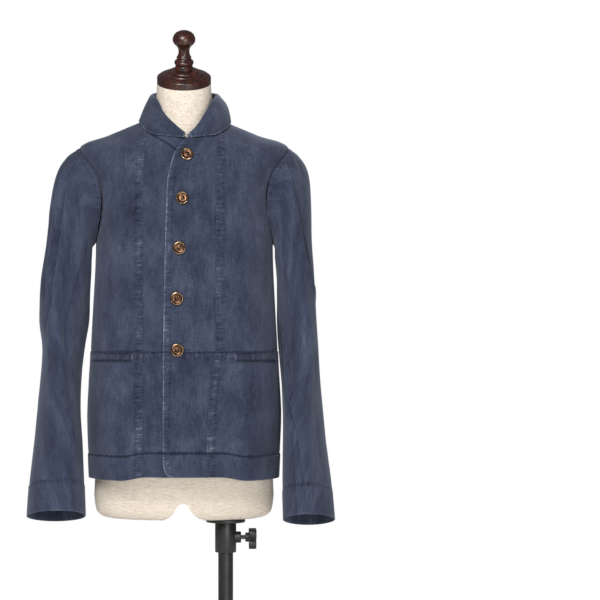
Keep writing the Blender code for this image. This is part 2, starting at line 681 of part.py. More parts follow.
def seat_on_front(x, z):
    """The angle and ring on the left front at an X and Z seen from the front."""
    low, high = HEM, NECKLINE
    for _ in range(30):
        ring = (low + high) / 2
        if body_surface(1, angle_at(x, ring), ring).z < z:
            low = ring
        else:
            high = ring
    return angle_at(x, low), low


BUTTON_PROFILE = (
    (0.0, BUTTON_THICK * 0.86),
    (BUTTON_RADIUS * 0.22, BUTTON_THICK * 0.84),
    (BUTTON_RADIUS * 0.28, BUTTON_THICK * 0.50),
    (BUTTON_RADIUS * 0.66, BUTTON_THICK * 0.56),
    (BUTTON_RADIUS * 0.84, BUTTON_THICK),
    (BUTTON_RADIUS, BUTTON_THICK * 0.62),
    (BUTTON_RADIUS * 0.93, 0.0),
    (0.0, 0.0),
)
for number, (x, z) in enumerate(BUTTONS, 1):
    angle, ring = seat_on_front(x, z)
    normal = body_normal(1, angle, ring)
    seat = cloth_point(1, angle, ring, -1.5 * SEAM_GAP)
    place = Matrix.Translation(seat) @ normal.to_track_quat("Z", "Y").to_matrix().to_4x4()
    turned(f"button_{number}", BUTTON_PROFILE, 16, BRASS_FINISH, place)


def loft(name, rings):
    """A closed solid through rings of the same number of points, with flat ends."""
    count = len(rings[0])
    points = [p for ring in rings for p in ring]
    faces = [
        (i * count + k, i * count + (k + 1) % count, (i + 1) * count + (k + 1) % count, (i + 1) * count + k)
        for i in range(len(rings) - 1)
        for k in range(count)
    ]
    faces.append(tuple(range(count)))
    faces.append(tuple(range(len(points) - count, len(points))))
    return mesh_of(name, points, faces)


def join(solid, other, how):
    """Apply a Boolean to an object's mesh and remove the other object."""
    change = solid.modifiers.new(how, "BOOLEAN")
    change.operation = how
    change.solver = "EXACT"
    change.object = other
    bpy.context.view_layer.update()
    mesh = bpy.data.meshes.new_from_object(solid.evaluated_get(bpy.context.evaluated_depsgraph_get()))
    solid.modifiers.clear()
    solid.data = mesh
    bpy.data.objects.remove(other, do_unlink=True)


def cylinder(name, radius, start, end, sides=32):
    """A straight round bar between two points."""
    work = bmesh.new()
    run = Vector(end) - Vector(start)
    place = Matrix.Translation((Vector(start) + Vector(end)) / 2)
    place = place @ run.to_track_quat("Z", "Y").to_matrix().to_4x4()
    bmesh.ops.create_cone(
        work, cap_ends=True, segments=sides, radius1=radius, radius2=radius, depth=run.length, matrix=place
    )
    mesh = bpy.data.meshes.new(name)
    work.to_mesh(mesh)
    work.free()
    mesh.shade_smooth()
    mesh.set_sharp_from_angle(angle=math.radians(35))
    return mesh


FORM_ANGLES = [-90 + 180 * k / 12 for k in range(13)]


def form_ring(ring):
    """A ring of the dress form, inside the cloth by the ease at each angle."""
    ease = dict(zip(EASE_COLUMNS, curve_through(EASE_ROWS, ring)))
    points = []
    for side, angles in ((1, FORM_ANGLES), (-1, FORM_ANGLES[-2:0:-1])):
        for angle in angles:
            share = math.sin(math.radians(angle)) ** 2
            end = ease["front"] if angle < 0 else ease["back"]
            depth = ease["side"] + (end - ease["side"]) * share
            depth = max(depth, LEAST_EASE)
            points.append(body_surface(side, angle, ring) - body_normal(side, angle, ring) * depth)
    return points


def oval_ring(centre, half_width, front, back, tilt=0.0):
    """An oval ring that may tilt down towards the front, its points in the form's order."""
    points = []
    for side, angles in ((1, FORM_ANGLES), (-1, FORM_ANGLES[-2:0:-1])):
        for angle in angles:
            across, along = math.cos(math.radians(angle)), math.sin(math.radians(angle))
            reach = front if along < 0 else back
            y = reach * along
            rise = y * math.sin(math.radians(tilt))
            y *= math.cos(math.radians(tilt))
            points.append(Vector((centre[0] + side * half_width * across, centre[1] + y, centre[2] + rise)))
    return points


def dress_form():
    """The limbless torso: neck, shoulders, bust, hips and the notch between the thighs."""
    rings = [oval_ring((0.0, FORM_MIDDLE_Y, z), *reach) for z, *reach in FORM_BOTTOM_ROWS]
    rings += [form_ring(ring) for ring in (0.0, 0.6, 1.3, 2.0, 3.0, 3.5, 4.0, 4.6, 5.2, 6.0, 6.7, 7.3,
                                           7.7, 8.0, 8.35, 8.8, 9.2, 9.6, 9.9)]
    rings.append(oval_ring((0.0, 0.026, 1.204), 0.053, 0.060, 0.060, 12.0))
    rings.append(oval_ring((0.0, 0.020, 1.226), NECK_RADIUS + 0.002, 0.050, 0.051, 16.0))
    axis = Vector((0.0, -math.sin(math.radians(NECK_TILT)), math.cos(math.radians(NECK_TILT))))
    top = Vector(CAP_CENTRE) - axis * SEAM_GAP
    rings.append(oval_ring(top, NECK_RADIUS, NECK_RADIUS, NECK_RADIUS, NECK_TILT))
    form = part("dress_form", loft("dress_form", rings), LINEN_FINISH)
    notch = loft("notch", [[Vector((x, y, z)) for x, z in NOTCH] for y in (-0.2, 0.2)])
    join(form, cutter("notch", notch), "DIFFERENCE")
    bore = cylinder("pole_bore", POLE_RADIUS + BORE_CLEARANCE, (POLE_X, 0, FORM_BOTTOM - 0.01),
                    (POLE_X, 0, POLE_TOP + 0.012))
    join(form, cutter("pole_bore", bore), "DIFFERENCE")
    form.data.shade_smooth()
    form.data.set_sharp_from_angle(angle=math.radians(40))


dress_form()

CAP_PROFILE = (
    (0.0, 0.0225), (0.0205, 0.0225), (0.0250, 0.0210), (0.0265, 0.0185), (0.0325, 0.0180),
    (0.0345, 0.0155), (0.0400, 0.0148), (0.0425, 0.0122), (0.0455, 0.0105), (0.0455, 0.0), (0.0, 0.0),
)
FINIAL_PROFILE = (
    (0.0, 0.0910), (0.0065, 0.0905), (0.0135, 0.0875), (0.0180, 0.0815), (0.0193, 0.0755),
    (0.0170, 0.0690), (0.0120, 0.0640), (0.0095, 0.0580), (0.0098, 0.0510), (0.0125, 0.0450),
    (0.0115, 0.0420), (0.0155, 0.0385), (0.0162, 0.0345), (0.0130, 0.0305), (0.0150, 0.0285),
    (0.0150, 0.0228), (0.0, 0.0228),
)
cap_place = Matrix.Translation(Vector(CAP_CENTRE)) @ Matrix.Rotation(math.radians(NECK_TILT), 4, "X")
turned("neck_cap", CAP_PROFILE, 28, WOOD_FINISH, cap_place)
turned("finial", FINIAL_PROFILE, 20, WOOD_FINISH, cap_place)


def ring_solid(name, radius, inside, low, high, material):
    """A round sleeve or flange with a hole for the pole, on the pole's axis."""
    profile = ((inside, high), (radius, high), (radius, low), (inside, low), (inside, high))
    return turned(name, profile, 32, material, Matrix.Translation((POLE_X, 0, 0)))


def stand():
    """Base, hub, pole, the form's flange and socket, and the clamp screw with its wing knob."""
    centre = Matrix.Translation((POLE_X, 0, 0))
    disc = (
        (0.0, BASE_THICK), (BASE_RADIUS * 0.90, BASE_THICK), (BASE_RADIUS * 0.985, BASE_THICK * 0.75),
        (BASE_RADIUS, BASE_THICK * 0.40), (BASE_RADIUS, 0.0), (0.0, 0.0),
    )
    turned("base", disc, 40, BLACK_FINISH, centre)
    inside = POLE_RADIUS + BORE_CLEARANCE
    hub = (
        (inside, HUB_TOP), (HUB_RADIUS * 0.72, HUB_TOP), (HUB_RADIUS * 0.80, HUB_TOP * 0.94),
        (HUB_RADIUS, BASE_THICK + 0.010), (HUB_RADIUS * 1.35, BASE_THICK + 0.0003),
        (0.0, BASE_THICK + 0.0003), (0.0, BASE_THICK + 0.008), (inside, BASE_THICK + 0.008), (inside, HUB_TOP),
    )
    turned("base_hub", hub, 32, BLACK_FINISH, centre)
    part("pole", cylinder("pole", POLE_RADIUS, (POLE_X, 0, BASE_THICK + 0.0086), (POLE_X, 0, POLE_TOP)),
         BLACK_FINISH)
    flange_top = FORM_BOTTOM - SEAM_GAP
    ring_solid("flange", FLANGE_RADIUS, inside, flange_top - FLANGE_THICK, flange_top, BLACK_FINISH)
    socket = ring_solid("socket", SOCKET_RADIUS, inside, SOCKET_BOTTOM,
                        flange_top - FLANGE_THICK - SEAM_GAP, BLACK_FINISH)
    boss = cylinder("boss", BOSS_RADIUS, (POLE_X + inside + 0.0012, 0, CLAMP_Z), (BOSS_END_X, 0, CLAMP_Z), 24)
    join(socket, cutter("boss", boss), "UNION")
    hole = cylinder("screw_hole", SCREW_RADIUS + 0.0005, (POLE_X + POLE_RADIUS * 0.5, 0, CLAMP_Z),
                    (BOSS_END_X + 0.01, 0, CLAMP_Z), 24)
    join(socket, cutter("screw_hole", hole), "DIFFERENCE")
    screw_start = POLE_X + POLE_RADIUS + 0.0006
    part("clamp_screw", cylinder("clamp_screw", SCREW_RADIUS, (screw_start, 0, CLAMP_Z),
                                 (KNOB_HUB_X - SEAM_GAP, 0, CLAMP_Z), 24), SCREW_FINISH)
    knob = part("clamp_knob", cylinder("clamp_knob", KNOB_HUB_RADIUS, (KNOB_HUB_X, 0, CLAMP_Z),
                                       (KNOB_WING_END_X - 0.003, 0, CLAMP_Z), 24), PLASTIC_FINISH)
    for k in range(3):
        turn = math.radians(270 + 120 * k)
        y, z = KNOB_LOBE_REACH * math.cos(turn), KNOB_LOBE_REACH * math.sin(turn)
        lobe = cylinder("lobe", KNOB_LOBE_RADIUS, (KNOB_WING_X, y, CLAMP_Z + z),
                        (KNOB_WING_END_X, y, CLAMP_Z + z), 20)
        join(knob, cutter("lobe", lobe), "UNION")


stand()
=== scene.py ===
"""The looks of a buttoned work jacket on a limbless dress form with its stand.

Metres, +Z up, the jacket's front faces -Y and the wearer's left is +X. Each
cloth piece is a thin shell on its solid's own surface, which is drawn again
here from the same short tables, with its seams, hems and main creases.
"""

import functools
import math

import bmesh
import bpy
import numpy as np
from mathutils import Matrix, Vector, noise


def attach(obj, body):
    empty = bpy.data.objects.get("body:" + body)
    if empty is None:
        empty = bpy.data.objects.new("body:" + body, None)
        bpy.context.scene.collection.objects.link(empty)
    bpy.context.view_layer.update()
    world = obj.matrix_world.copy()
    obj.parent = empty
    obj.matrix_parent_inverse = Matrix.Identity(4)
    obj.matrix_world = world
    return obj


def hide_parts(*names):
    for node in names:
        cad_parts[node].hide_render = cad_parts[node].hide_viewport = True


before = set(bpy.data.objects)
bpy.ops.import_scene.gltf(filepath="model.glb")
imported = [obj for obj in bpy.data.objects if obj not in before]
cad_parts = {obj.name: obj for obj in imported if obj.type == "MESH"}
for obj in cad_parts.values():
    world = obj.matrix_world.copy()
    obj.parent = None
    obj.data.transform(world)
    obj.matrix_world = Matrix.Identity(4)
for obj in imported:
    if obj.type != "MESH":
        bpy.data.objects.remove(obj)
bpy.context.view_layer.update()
SIDES = {"left": 1, "right": -1}
CLOTH, UNDERLAP_DEPTH = 0.0015, 0.0024

# The jacket's body: a cotton body on one smooth surface, lofted through rings
# from the hem to the neckline. The panels, hems and pockets are all cut on it.
# Each row is one ring; "square" below 1 makes it squarer than an ellipse.
BODY_COLUMNS = ("z_front", "z_side", "z_back", "half_width", "y_side", "y_front", "y_back", "square")
BODY_ROWS = (
    (0.592, 0.592, 0.598, 0.159, 0.012, -0.120, 0.155, 0.88),  # hem
    (0.627, 0.627, 0.636, 0.161, 0.012, -0.118, 0.151, 0.88),  # top of the hem turn-up
    (0.700, 0.700, 0.710, 0.163, 0.012, -0.114, 0.143, 0.88),  # hip
    (0.803, 0.803, 0.810, 0.157, 0.012, -0.107, 0.131, 0.88),  # waist seam
    (0.900, 0.900, 0.907, 0.152, 0.013, -0.108, 0.138, 0.88),  # ribs
    (0.985, 0.985, 0.992, 0.149, 0.015, -0.107, 0.143, 0.88),  # underarm
    (1.050, 1.050, 1.060, 0.152, 0.017, -0.099, 0.141, 0.90),  # chest
    (1.090, 1.100, 1.115, 0.162, 0.020, -0.088, 0.135, 0.93),  # upper chest
    (1.120, 1.145, 1.160, 0.176, 0.023, -0.080, 0.128, 0.96),  # shoulder tip
    (1.141, 1.167, 1.190, 0.125, 0.026, -0.072, 0.120, 0.98),  # middle of the shoulder
    (1.160, 1.190, 1.212, 0.070, 0.030, -0.063, 0.108, 1.00),  # neckline
)
HEM, WAIST, UNDERARM, TIP, NECKLINE = 0.0, 3.0, 5.0, 8.0, 10.0
ARMHOLE_MIDDLE, ARMHOLE_HALF = (UNDERARM + TIP) / 2, (TIP - UNDERARM) / 2
# The hem rises a little across the front, in full up to one ring and level
# again at another; sideways the rise fades between two distances from X = 0.
HEM_RISE, HEM_RISE_FULL, HEM_RISE_TOP = 0.007, 1.1, 2.4
HEM_RISE_INNER, HEM_RISE_OUTER = 0.060, 0.105


def curve_through(rows, at):
    """The columns of a table at a fractional row, on a smooth curve through its rows."""
    low = min(max(int(math.floor(at)), 0), len(rows) - 2)
    f = at - low
    before, here = rows[max(low - 1, 0)], rows[low]
    there, after = rows[low + 1], rows[min(low + 2, len(rows) - 1)]
    return [
        0.5 * (2 * q + (r - p) * f + (2 * p - 5 * q + 4 * r - s) * f**2 + (3 * q - p - 3 * r + s) * f**3)
        for p, q, r, s in zip(before, here, there, after)
    ]


def line_through(points, at):
    """The value at a place on a line drawn straight from point to point."""
    for (at_low, low), (at_high, high) in zip(points, points[1:]):
        if at <= at_high:
            return low + (high - low) * max(0.0, at - at_low) / (at_high - at_low)
    return points[-1][1]


def smooth_step(value, start, end):
    """0 before start, 1 after end, and an even curve between them."""
    f = min(1.0, max(0.0, (value - start) / (end - start)))
    return f * f * (3 - 2 * f)


@functools.lru_cache(maxsize=None)
def body_row(ring):
    """The body's columns by name at a fractional ring."""
    return dict(zip(BODY_COLUMNS, curve_through(BODY_ROWS, ring)))


def body_surface(side, angle, ring):
    """A point of the smooth body, before folds."""
    row = body_row(ring)
    across, along = math.cos(math.radians(angle)), math.sin(math.radians(angle))
    end_y, end_z = (row["y_front"], row["z_front"]) if along < 0 else (row["y_back"], row["z_back"])
    x = row["half_width"] * math.copysign(abs(across) ** row["square"], across)
    y = row["y_side"] + (end_y - row["y_side"]) * abs(along) ** row["square"]
    z = row["z_side"] + (end_z - row["z_side"]) * along * along
    if along < 0 and ring < HEM_RISE_TOP:
        sideways = smooth_step(-abs(x), -HEM_RISE_OUTER, -HEM_RISE_INNER)
        z += HEM_RISE * sideways * smooth_step(-ring, -HEM_RISE_TOP, -HEM_RISE_FULL)
    return Vector((side * x, y, z))


# How far to each side a slope is measured.
DEGREE_STEP, RING_STEP = 1.0, 0.03


def body_normal(side, angle, ring):
    """The way out of the smooth body, found from the places round a point."""
    turn = body_surface(side, angle + DEGREE_STEP, ring) - body_surface(side, angle - DEGREE_STEP, ring)
    climb = body_surface(side, angle, ring + RING_STEP) - body_surface(side, angle, ring - RING_STEP)
    return (turn.cross(climb) * side).normalized()


def angle_at(x, ring):
    """The angle on the body's front half where its own X is x, past -90 if negative."""
    row = body_row(ring)
    across = min(1.0, abs(x) / row["half_width"]) ** (1 / row["square"])
    turn = math.degrees(math.acos(across))
    return -turn if x >= 0 else turn - 180.0


# Large folds of the body: side, where each starts and ends as angle and
# ring, half its width and its height out of the cloth.
BODY_FOLDS = (
    (1, 66, 7.4, 68, 2.6, 0.024, 0.0055),
    (-1, 62, 7.4, 64, 2.6, 0.030, 0.0075),
    (1, 48, 5.6, 52, 0.6, 0.014, -0.0040),
    (-1, 48, 5.6, 52, 0.6, 0.014, -0.0040),
    (1, 68, 2.0, 68, -6.0, 0.028, 0.0170),
    (-1, 69, 2.0, 69, -6.0, 0.028, 0.0200),
    (1, -40, 4.6, -44, 3.2, 0.012, -0.0030),
    (-1, -38, 4.8, -43, 3.2, 0.012, -0.0035),
)
# About how long a degree round the body and a ring up it are, for the folds.
METRES_PER_DEGREE, METRES_PER_RING = 0.0026, 0.085


def body_fold(side, angle, ring):
    """How far the cloth stands out of the smooth body in its large folds."""
    total = 0.0
    for fold_side, a0, r0, a1, r1, half_width, height in BODY_FOLDS:
        if fold_side != side:
            continue
        start = Vector((a0 * METRES_PER_DEGREE, r0 * METRES_PER_RING))
        run = Vector((a1 * METRES_PER_DEGREE, r1 * METRES_PER_RING)) - start
        here = Vector((angle * METRES_PER_DEGREE, ring * METRES_PER_RING)) - start
        along = here.dot(run) / run.length_squared
        off = (here - run * along).length
        taper = smooth_step(along, -0.15, 0.25) * smooth_step(-along, -1.15, -0.75)
        total += height * taper * math.exp(-((off / half_width) ** 2))
    return total


def cloth_point(side, angle, ring, depth=0.0):
    """A point of the body's cloth, depth below its outer face."""
    normal = body_normal(side, angle, ring)
    return body_surface(side, angle, ring) + normal * (body_fold(side, angle, ring) - depth)


# The cloth is a washed slate blue cotton with a slubby weave, faded where it
# was rubbed: on edges, on the doubled seams and across their puckers.

# Small creases everywhere: how often across and along a metre, and how high.
CREASE_SIZES = ((11.0, 5.0, 0.0016), (30.0, 12.0, 0.0007), (75.0, 40.0, 0.0002))

# Creases of the front, placed from the photo: each end as X and Z seen
# from the front, then half its width and its height.
FRONT_CREASES = (
    (-0.161, 1.108, -0.137, 1.035, 0.0090, -0.0026),
    (-0.137, 1.035, -0.129, 0.960, 0.0100, -0.0024),
    (-0.118, 1.030, -0.112, 0.840, 0.0120, 0.0022),
    (-0.131, 0.930, -0.126, 0.812, 0.0090, -0.0026),
    (-0.095, 1.060, -0.088, 0.960, 0.0100, -0.0012),
    (0.133, 1.100, 0.119, 0.990, 0.0100, -0.0026),
    (0.148, 1.060, 0.128, 0.960, 0.0080, 0.0016),
    (0.140, 0.940, 0.134, 0.812, 0.0090, -0.0026),
    (0.112, 0.980, 0.108, 0.850, 0.0120, 0.0018),
    (-0.064, 1.171, -0.0135, 1.1390, 0.0030, -0.0010),
    (-0.122, 0.770, -0.134, 0.752, 0.0040, -0.0012),
    (-0.108, 0.776, -0.140, 0.770, 0.0030, -0.0010),
    (-0.100, 0.765, -0.126, 0.735, 0.0060, -0.0012),
    (0.0395, 0.787, 0.067, 0.757, 0.0050, -0.0012),
    (0.050, 0.790, 0.088, 0.765, 0.0050, 0.0011),
    (-0.0077, 0.689, 0.006, 0.658, 0.0045, -0.0010),
    (0.030, 0.700, 0.022, 0.640, 0.0080, -0.0012),
    (0.095, 0.665, 0.103, 0.661, 0.0030, -0.0014),
    (-0.045, 0.790, -0.050, 0.660, 0.0070, -0.0012),
    (-0.050, 0.640, -0.046, 0.606, 0.0060, -0.0016),
    (-0.106, 0.720, -0.112, 0.650, 0.0110, 0.0014),
    (0.110, 0.745, 0.116, 0.640, 0.0120, 0.0014),
    (0.078, 0.632, 0.094, 0.600, 0.0080, -0.0014),
    (-0.020, 0.640, -0.014, 0.610, 0.0060, 0.0010),
)


def crumple(point):
    """Small soft creases of washed cloth: a height for any place of the jacket."""
    total = sum(
        height * noise.noise(Vector((point.x * across, point.y * across, point.z * along)))
        for across, along, height in CREASE_SIZES
    )
    if point.y > 0.0:
        return total
    for x0, z0, x1, z1, half_width, height in FRONT_CREASES:
        run_x, run_z = x1 - x0, z1 - z0
        along = ((point.x - x0) * run_x + (point.z - z0) * run_z) / (run_x**2 + run_z**2)
        if -0.2 < along < 1.2:
            off = math.hypot(point.x - x0 - run_x * along, point.z - z0 - run_z * along)
            taper = smooth_step(along, -0.2, 0.3) * smooth_step(-along, -1.2, -0.7)
            total += height * taper * math.exp(-((off / half_width) ** 2))
    return total


def node_maker(tree):
    """Adds nodes to a tree: kind, input values by name, and links by socket name."""
    def add(kind, values=None, links=None, **settings):
        node = tree.nodes.new(kind)
        for key, value in settings.items():
            setattr(node, key, value)
        for key, value in (values or {}).items():
            node.inputs[key].default_value = value
        for key, socket in (links or {}).items():
            tree.links.new(socket, node.inputs[key])
        return node
    return add


def blank(name, **values):
    """A new material's shader, with its constant values set on its own sockets."""
    made = bpy.data.materials.new(name)
    made.use_nodes = True
    shader = made.node_tree.nodes["Principled BSDF"]
    for key, value in values.items():
        shader.inputs[key.replace("_", " ")].default_value = value
    return made, shader, node_maker(made.node_tree), made.node_tree.links


def ramp(add, socket, *stops):
    """A colour ramp on a socket: each stop is a place and a colour."""
    node = add("ShaderNodeValToRGB", links={"Fac": socket})
    points = node.color_ramp.elements
    while len(points) < len(stops):
        points.new(0.5)
    for point, (place, colour) in zip(points, stops):
        point.position = place
        point.color = (*colour, 1.0)
    return node.outputs["Color"]


MARKS = ("rungs_up", "rungs_across", "worn")


def jacket_cloth():
    """Slate blue cotton: slubs, a diagonal weave, puckers beside seams, fading, and painted shade at seams.
    """
    made, shader, add, links = blank(
        "slate_cotton", Roughness=0.9, Specular_IOR_Level=0.18,
        Sheen_Weight=0.22, Sheen_Roughness=0.55, Sheen_Tint=(0.62, 0.68, 0.85, 1.0),
    )
    lot = add("ShaderNodeAttribute", attribute_name="lot").outputs["Fac"]
    flat = add("ShaderNodeUVMap", uv_map="cut").outputs["UV"]
    uv = add("ShaderNodeVectorMath", links={0: flat, 1: lot}, operation="ADD").outputs["Vector"]
    marks = {name: add("ShaderNodeAttribute", attribute_name=name).outputs["Fac"] for name in MARKS}

    def stretched(across, along, detail, rough=0.6):
        scaled = add("ShaderNodeMapping", {"Scale": (across, along, 1.0)}, {"Vector": uv})
        return add("ShaderNodeTexNoise", {"Scale": 1.0, "Detail": detail, "Roughness": rough},
                   {"Vector": scaled.outputs["Vector"]}).outputs["Fac"]

    def mixed(how, a, b):
        node = add("ShaderNodeMath", operation=how)
        for place, value in enumerate((a, b)):
            if isinstance(value, (int, float)):
                node.inputs[place].default_value = value
            else:
                links.new(value, node.inputs[place])
        return node.outputs["Value"]

    warp = stretched(760.0, 60.0, 4.0, 0.7)
    weft = stretched(140.0, 700.0, 3.0)
    patch = stretched(26.0, 13.0, 4.0, 0.65)
    ribs = add("ShaderNodeMapping", {"Scale": (95.0, 95.0, 1.0)}, {"Vector": uv}).outputs["Vector"]
    twill = add("ShaderNodeTexWave", {"Scale": 1.0, "Distortion": 1.2, "Detail": 1.0}, {"Vector": ribs},
                bands_direction="DIAGONAL").outputs["Fac"]
    puckers = []
    for name, across, along in (("rungs_up", 60.0, 290.0), ("rungs_across", 290.0, 60.0)):
        rungs = stretched(across, along, 1.5)
        sharp = mixed("MULTIPLY", mixed("SUBTRACT", rungs, 0.5), 2.6)
        puckers.append(mixed("MULTIPLY", sharp, marks[name]))
    pucker = mixed("ADD", *puckers)
    thread = mixed("ADD", mixed("MULTIPLY", warp, 0.62), mixed("MULTIPLY", weft, 0.38))
    faded = mixed("ADD", mixed("MULTIPLY", mixed("SUBTRACT", patch, 0.5), 0.62), 0.182)
    tone = mixed("ADD", mixed("MULTIPLY", thread, 0.72), faded)
    tone = mixed("ADD", tone, mixed("MULTIPLY", twill, 0.02))
    tone = mixed("ADD", tone, mixed("MULTIPLY", pucker, 0.24))
    # Rubbed fading lightens the tone, and painted shade darkens it along seams and stitched lines.
    tone = mixed("ADD", tone, mixed("MULTIPLY", marks["worn"], 0.34))
    colour = ramp(add, tone, (0.34, (0.0080, 0.0110, 0.0230)), (0.52, (0.0270, 0.0350, 0.0630)),
                  (0.68, (0.0540, 0.0660, 0.1040)), (0.92, (0.210, 0.235, 0.290)))
    links.new(colour, shader.inputs["Base Color"])
    weave = mixed("ADD", mixed("MULTIPLY", thread, 0.40), mixed("MULTIPLY", twill, 0.06))
    low = add("ShaderNodeBump", {"Strength": 0.8, "Distance": 0.0014}, {"Height": pucker})
    top = add("ShaderNodeBump", {"Strength": 0.35, "Distance": 0.0007},
              {"Height": weave, "Normal": low.outputs["Normal"]})
    links.new(top.outputs["Normal"], shader.inputs["Normal"])
    return made


COTTON = jacket_cloth()


def link(obj, material, body="form"):
    """Shows a finished piece in the scene, with its finish and its body."""
    bpy.context.scene.collection.objects.link(obj)
    obj.data.materials.clear()
    obj.data.materials.append(material)
    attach(obj, body)
    return obj


def lengths(grid, axis):
    """How far along each row (axis 1) or up each column (axis 0) every point of a grid lies."""
    steps = np.linalg.norm(np.diff(grid, axis=axis), axis=2)
    pad = [(0, 0), (0, 0)]
    pad[axis] = (1, 0)
    return np.cumsum(np.pad(steps, pad), axis=axis)


def flat_area(grid):
    """The area of a grid of points."""
    a, b = grid[1:, 1:] - grid[:-1, :-1], grid[1:, :-1] - grid[:-1, 1:]
    return float(np.linalg.norm(np.cross(a, b), axis=2).sum() / 2)


# How each kind of edge is sewn: height and width of the doubled cloth, where
# its puckers start and end, their strength, how worn the fold is (below 0 for
# painted shade that darkens the seam), and how much painted shadow darkens the stitched line.
EDGE_STYLES = {
    "seam": (0.0, 0.0, 0.0, 0.0030, 0.25, -0.10, 0.0),
    "fell": (0.0006, 0.0125, -0.0005, 0.0140, 0.90, 0.10, 0.16),
    "armhole": (0.0005, 0.0090, 0.0, 0.0105, 0.55, -0.15, 0.20),
    "single": (0.0003, 0.0045, 0.0, 0.0060, 0.50, 0.10, 0.10),
    "free": (0.0010, 0.0115, 0.0, 0.0125, 0.70, 0.80, 0.16),
    "waist": (0.0, 0.0, 0.0, 0.0020, 0.25, -0.35, 0.0),
    "waistband": (0.0006, 0.0112, -0.0005, 0.0125, 0.90, -0.40, 0.20),
    "hem": (0.0013, 0.0410, 0.0370, 0.0460, 0.60, 0.20, 0.95),
    "cuff": (0.0009, 0.0500, 0.0465, 0.0540, 0.60, 0.35, 0.45),
    "collar": (0.0002, 0.0045, 0.0, 0.0060, 0.35, 0.60, 0.10),
    "mouth": (0.0001, 0.0030, 0.0, 0.0060, 0.35, -0.70, 0.0),
    "hidden": (0.0, 0.0, 0.0, 0.0, 0.0, 0.0, 0.0),
}
FREE_EDGES = ("free", "hem", "cuff", "collar", "hidden")
STEP_SOFTNESS, STITCHED_WIDTH = 0.0012, 0.0016
GROOVE_WIDTH, GROOVE_DEPTH, WORN_WIDTH = 0.0013, 0.0006, 0.0017


def fall(distance, start, end):
    """1 before start and 0 after end, evenly between, for an array."""
    f = np.clip((distance - start) / (end - start), 0.0, 1.0)
    return 1.0 - f * f * (3.0 - 2.0 * f)


def sewn(grid, styles, hem_row=None):
    """The height and the marks that a piece's four sewn edges give its cloth."""
    across, up = lengths(grid, 1), lengths(grid, 0)
    away = {"near": across, "far": across[:, -1:] - across, "low": up, "high": up[-1:, :] - up}
    if hem_row is not None:
        away["low"] = up / up[hem_row] * EDGE_STYLES["hem"][1]
    height = np.zeros(across.shape)
    marks = {name: np.zeros(across.shape) for name in MARKS}
    for edge, style in styles.items():
        ridge, width, start, end, strength, worn, dark = EDGE_STYLES[style]
        d = away[edge]
        if ridge:
            height += ridge * fall(d, width - STEP_SOFTNESS, width + STEP_SOFTNESS)
            height -= ridge * np.exp(-(((d - width) / STITCHED_WIDTH) ** 2))
        if style not in FREE_EDGES:
            height -= GROOVE_DEPTH * np.exp(-((d / GROOVE_WIDTH) ** 2))
        if strength:
            band = fall(d, end - STEP_SOFTNESS, end + STEP_SOFTNESS)
            if start > 0:
                band = band * (1.0 - fall(d, start - STEP_SOFTNESS, start + STEP_SOFTNESS))
            name = "rungs_up" if edge in ("near", "far") else "rungs_across"
            marks[name] = np.maximum(marks[name], strength * band)
            # Wear lightens the cloth by the edge, painted shade below 0 darkens the seam, and dark is
            # painted shadow on the stitched line.
            marks["worn"] += worn * np.exp(-((d / WORN_WIDTH) ** 2))
            marks["worn"] -= dark * np.exp(-(((d - width) / STITCHED_WIDTH) ** 2))
    return height, marks, across, up


# Each piece is cut from its own place in the cloth, so no pattern is mirrored.
LOTS, LOT_STEP = [], 0.37


def outwards(mesh):
    """Turns every face of a closed mesh outwards."""
    work = bmesh.new()
    work.from_mesh(mesh)
    bmesh.ops.recalc_face_normals(work, faces=work.faces)
    work.to_mesh(mesh)
    work.free()


def shade(mesh, sharp):
    """Shades a mesh smooth, with the edges sharper than some degrees left sharp."""
    mesh.shade_smooth()
    mesh.set_sharp_from_angle(angle=math.radians(sharp))


def shell(name, outer, inner, marks, across, up, material, **sheet_words):
    """A closed thin wall of cloth between two grids, with its cut as UV and its marks."""
    LOTS.append(name)
    marks["lot"] = np.full(across.shape, LOT_STEP * len(LOTS))
    high, wide = outer.shape[:2]
    index = np.arange(high * wide).reshape(high, wide)
    quads = np.stack([index[:-1, :-1], index[:-1, 1:], index[1:, 1:], index[1:, :-1]], axis=-1)
    quads = quads.reshape(-1, 4)
    rim = list(index[0, :]) + list(index[1:, -1]) + list(index[-1, -2::-1]) + list(index[-2:0:-1, 0])
    back = high * wide
    sides = [(there, here, back + here, back + there) for here, there in zip(rim, rim[1:] + rim[:1])]
    faces = quads.tolist() + (quads[:, ::-1] + back).tolist() + sides
    points = np.concatenate([outer.reshape(-1, 3), inner.reshape(-1, 3)])
    mesh = bpy.data.meshes.new(name)
    mesh.from_pydata(points.tolist(), [], faces)
    outwards(mesh)
    cut = np.stack([across, up], axis=-1).reshape(-1, 2)
    cut = np.concatenate([cut, cut])
    corners = np.zeros(len(mesh.loops), dtype=np.int32)
    mesh.loops.foreach_get("vertex_index", corners)
    mesh.uv_layers.new(name="cut").data.foreach_set("uv", cut[corners].ravel())
    for key, values in marks.items():
        layer = mesh.attributes.new(key, "FLOAT", "POINT")
        layer.data.foreach_set("value", np.tile(values.ravel(), 2))
    shade(mesh, 50)
    made = link(bpy.data.objects.new(name, mesh), material)
    width, length = float(across[:, -1].max()), float(up[-1, :].max())
    area = min(flat_area(outer), width * length)
    return made


# The panels of the body are cut and sewn along these seams, each given as an
# angle for every ring, with felled seams, a turned-up hem and a lapped front.
ARMHOLE_ANGLE = 28.0
PRINCESS_LINES = {
    1: ((0.0, 0.0355), (1.5, 0.0370), (2.2, 0.0405), (2.6, 0.0450), (3.0, 0.0520), (5.0, 0.0525),
        (10.0, 0.0560)),
    -1: ((0.0, 0.0680), (5.0, 0.0685), (8.0, 0.0660), (10.0, 0.0600)),
}
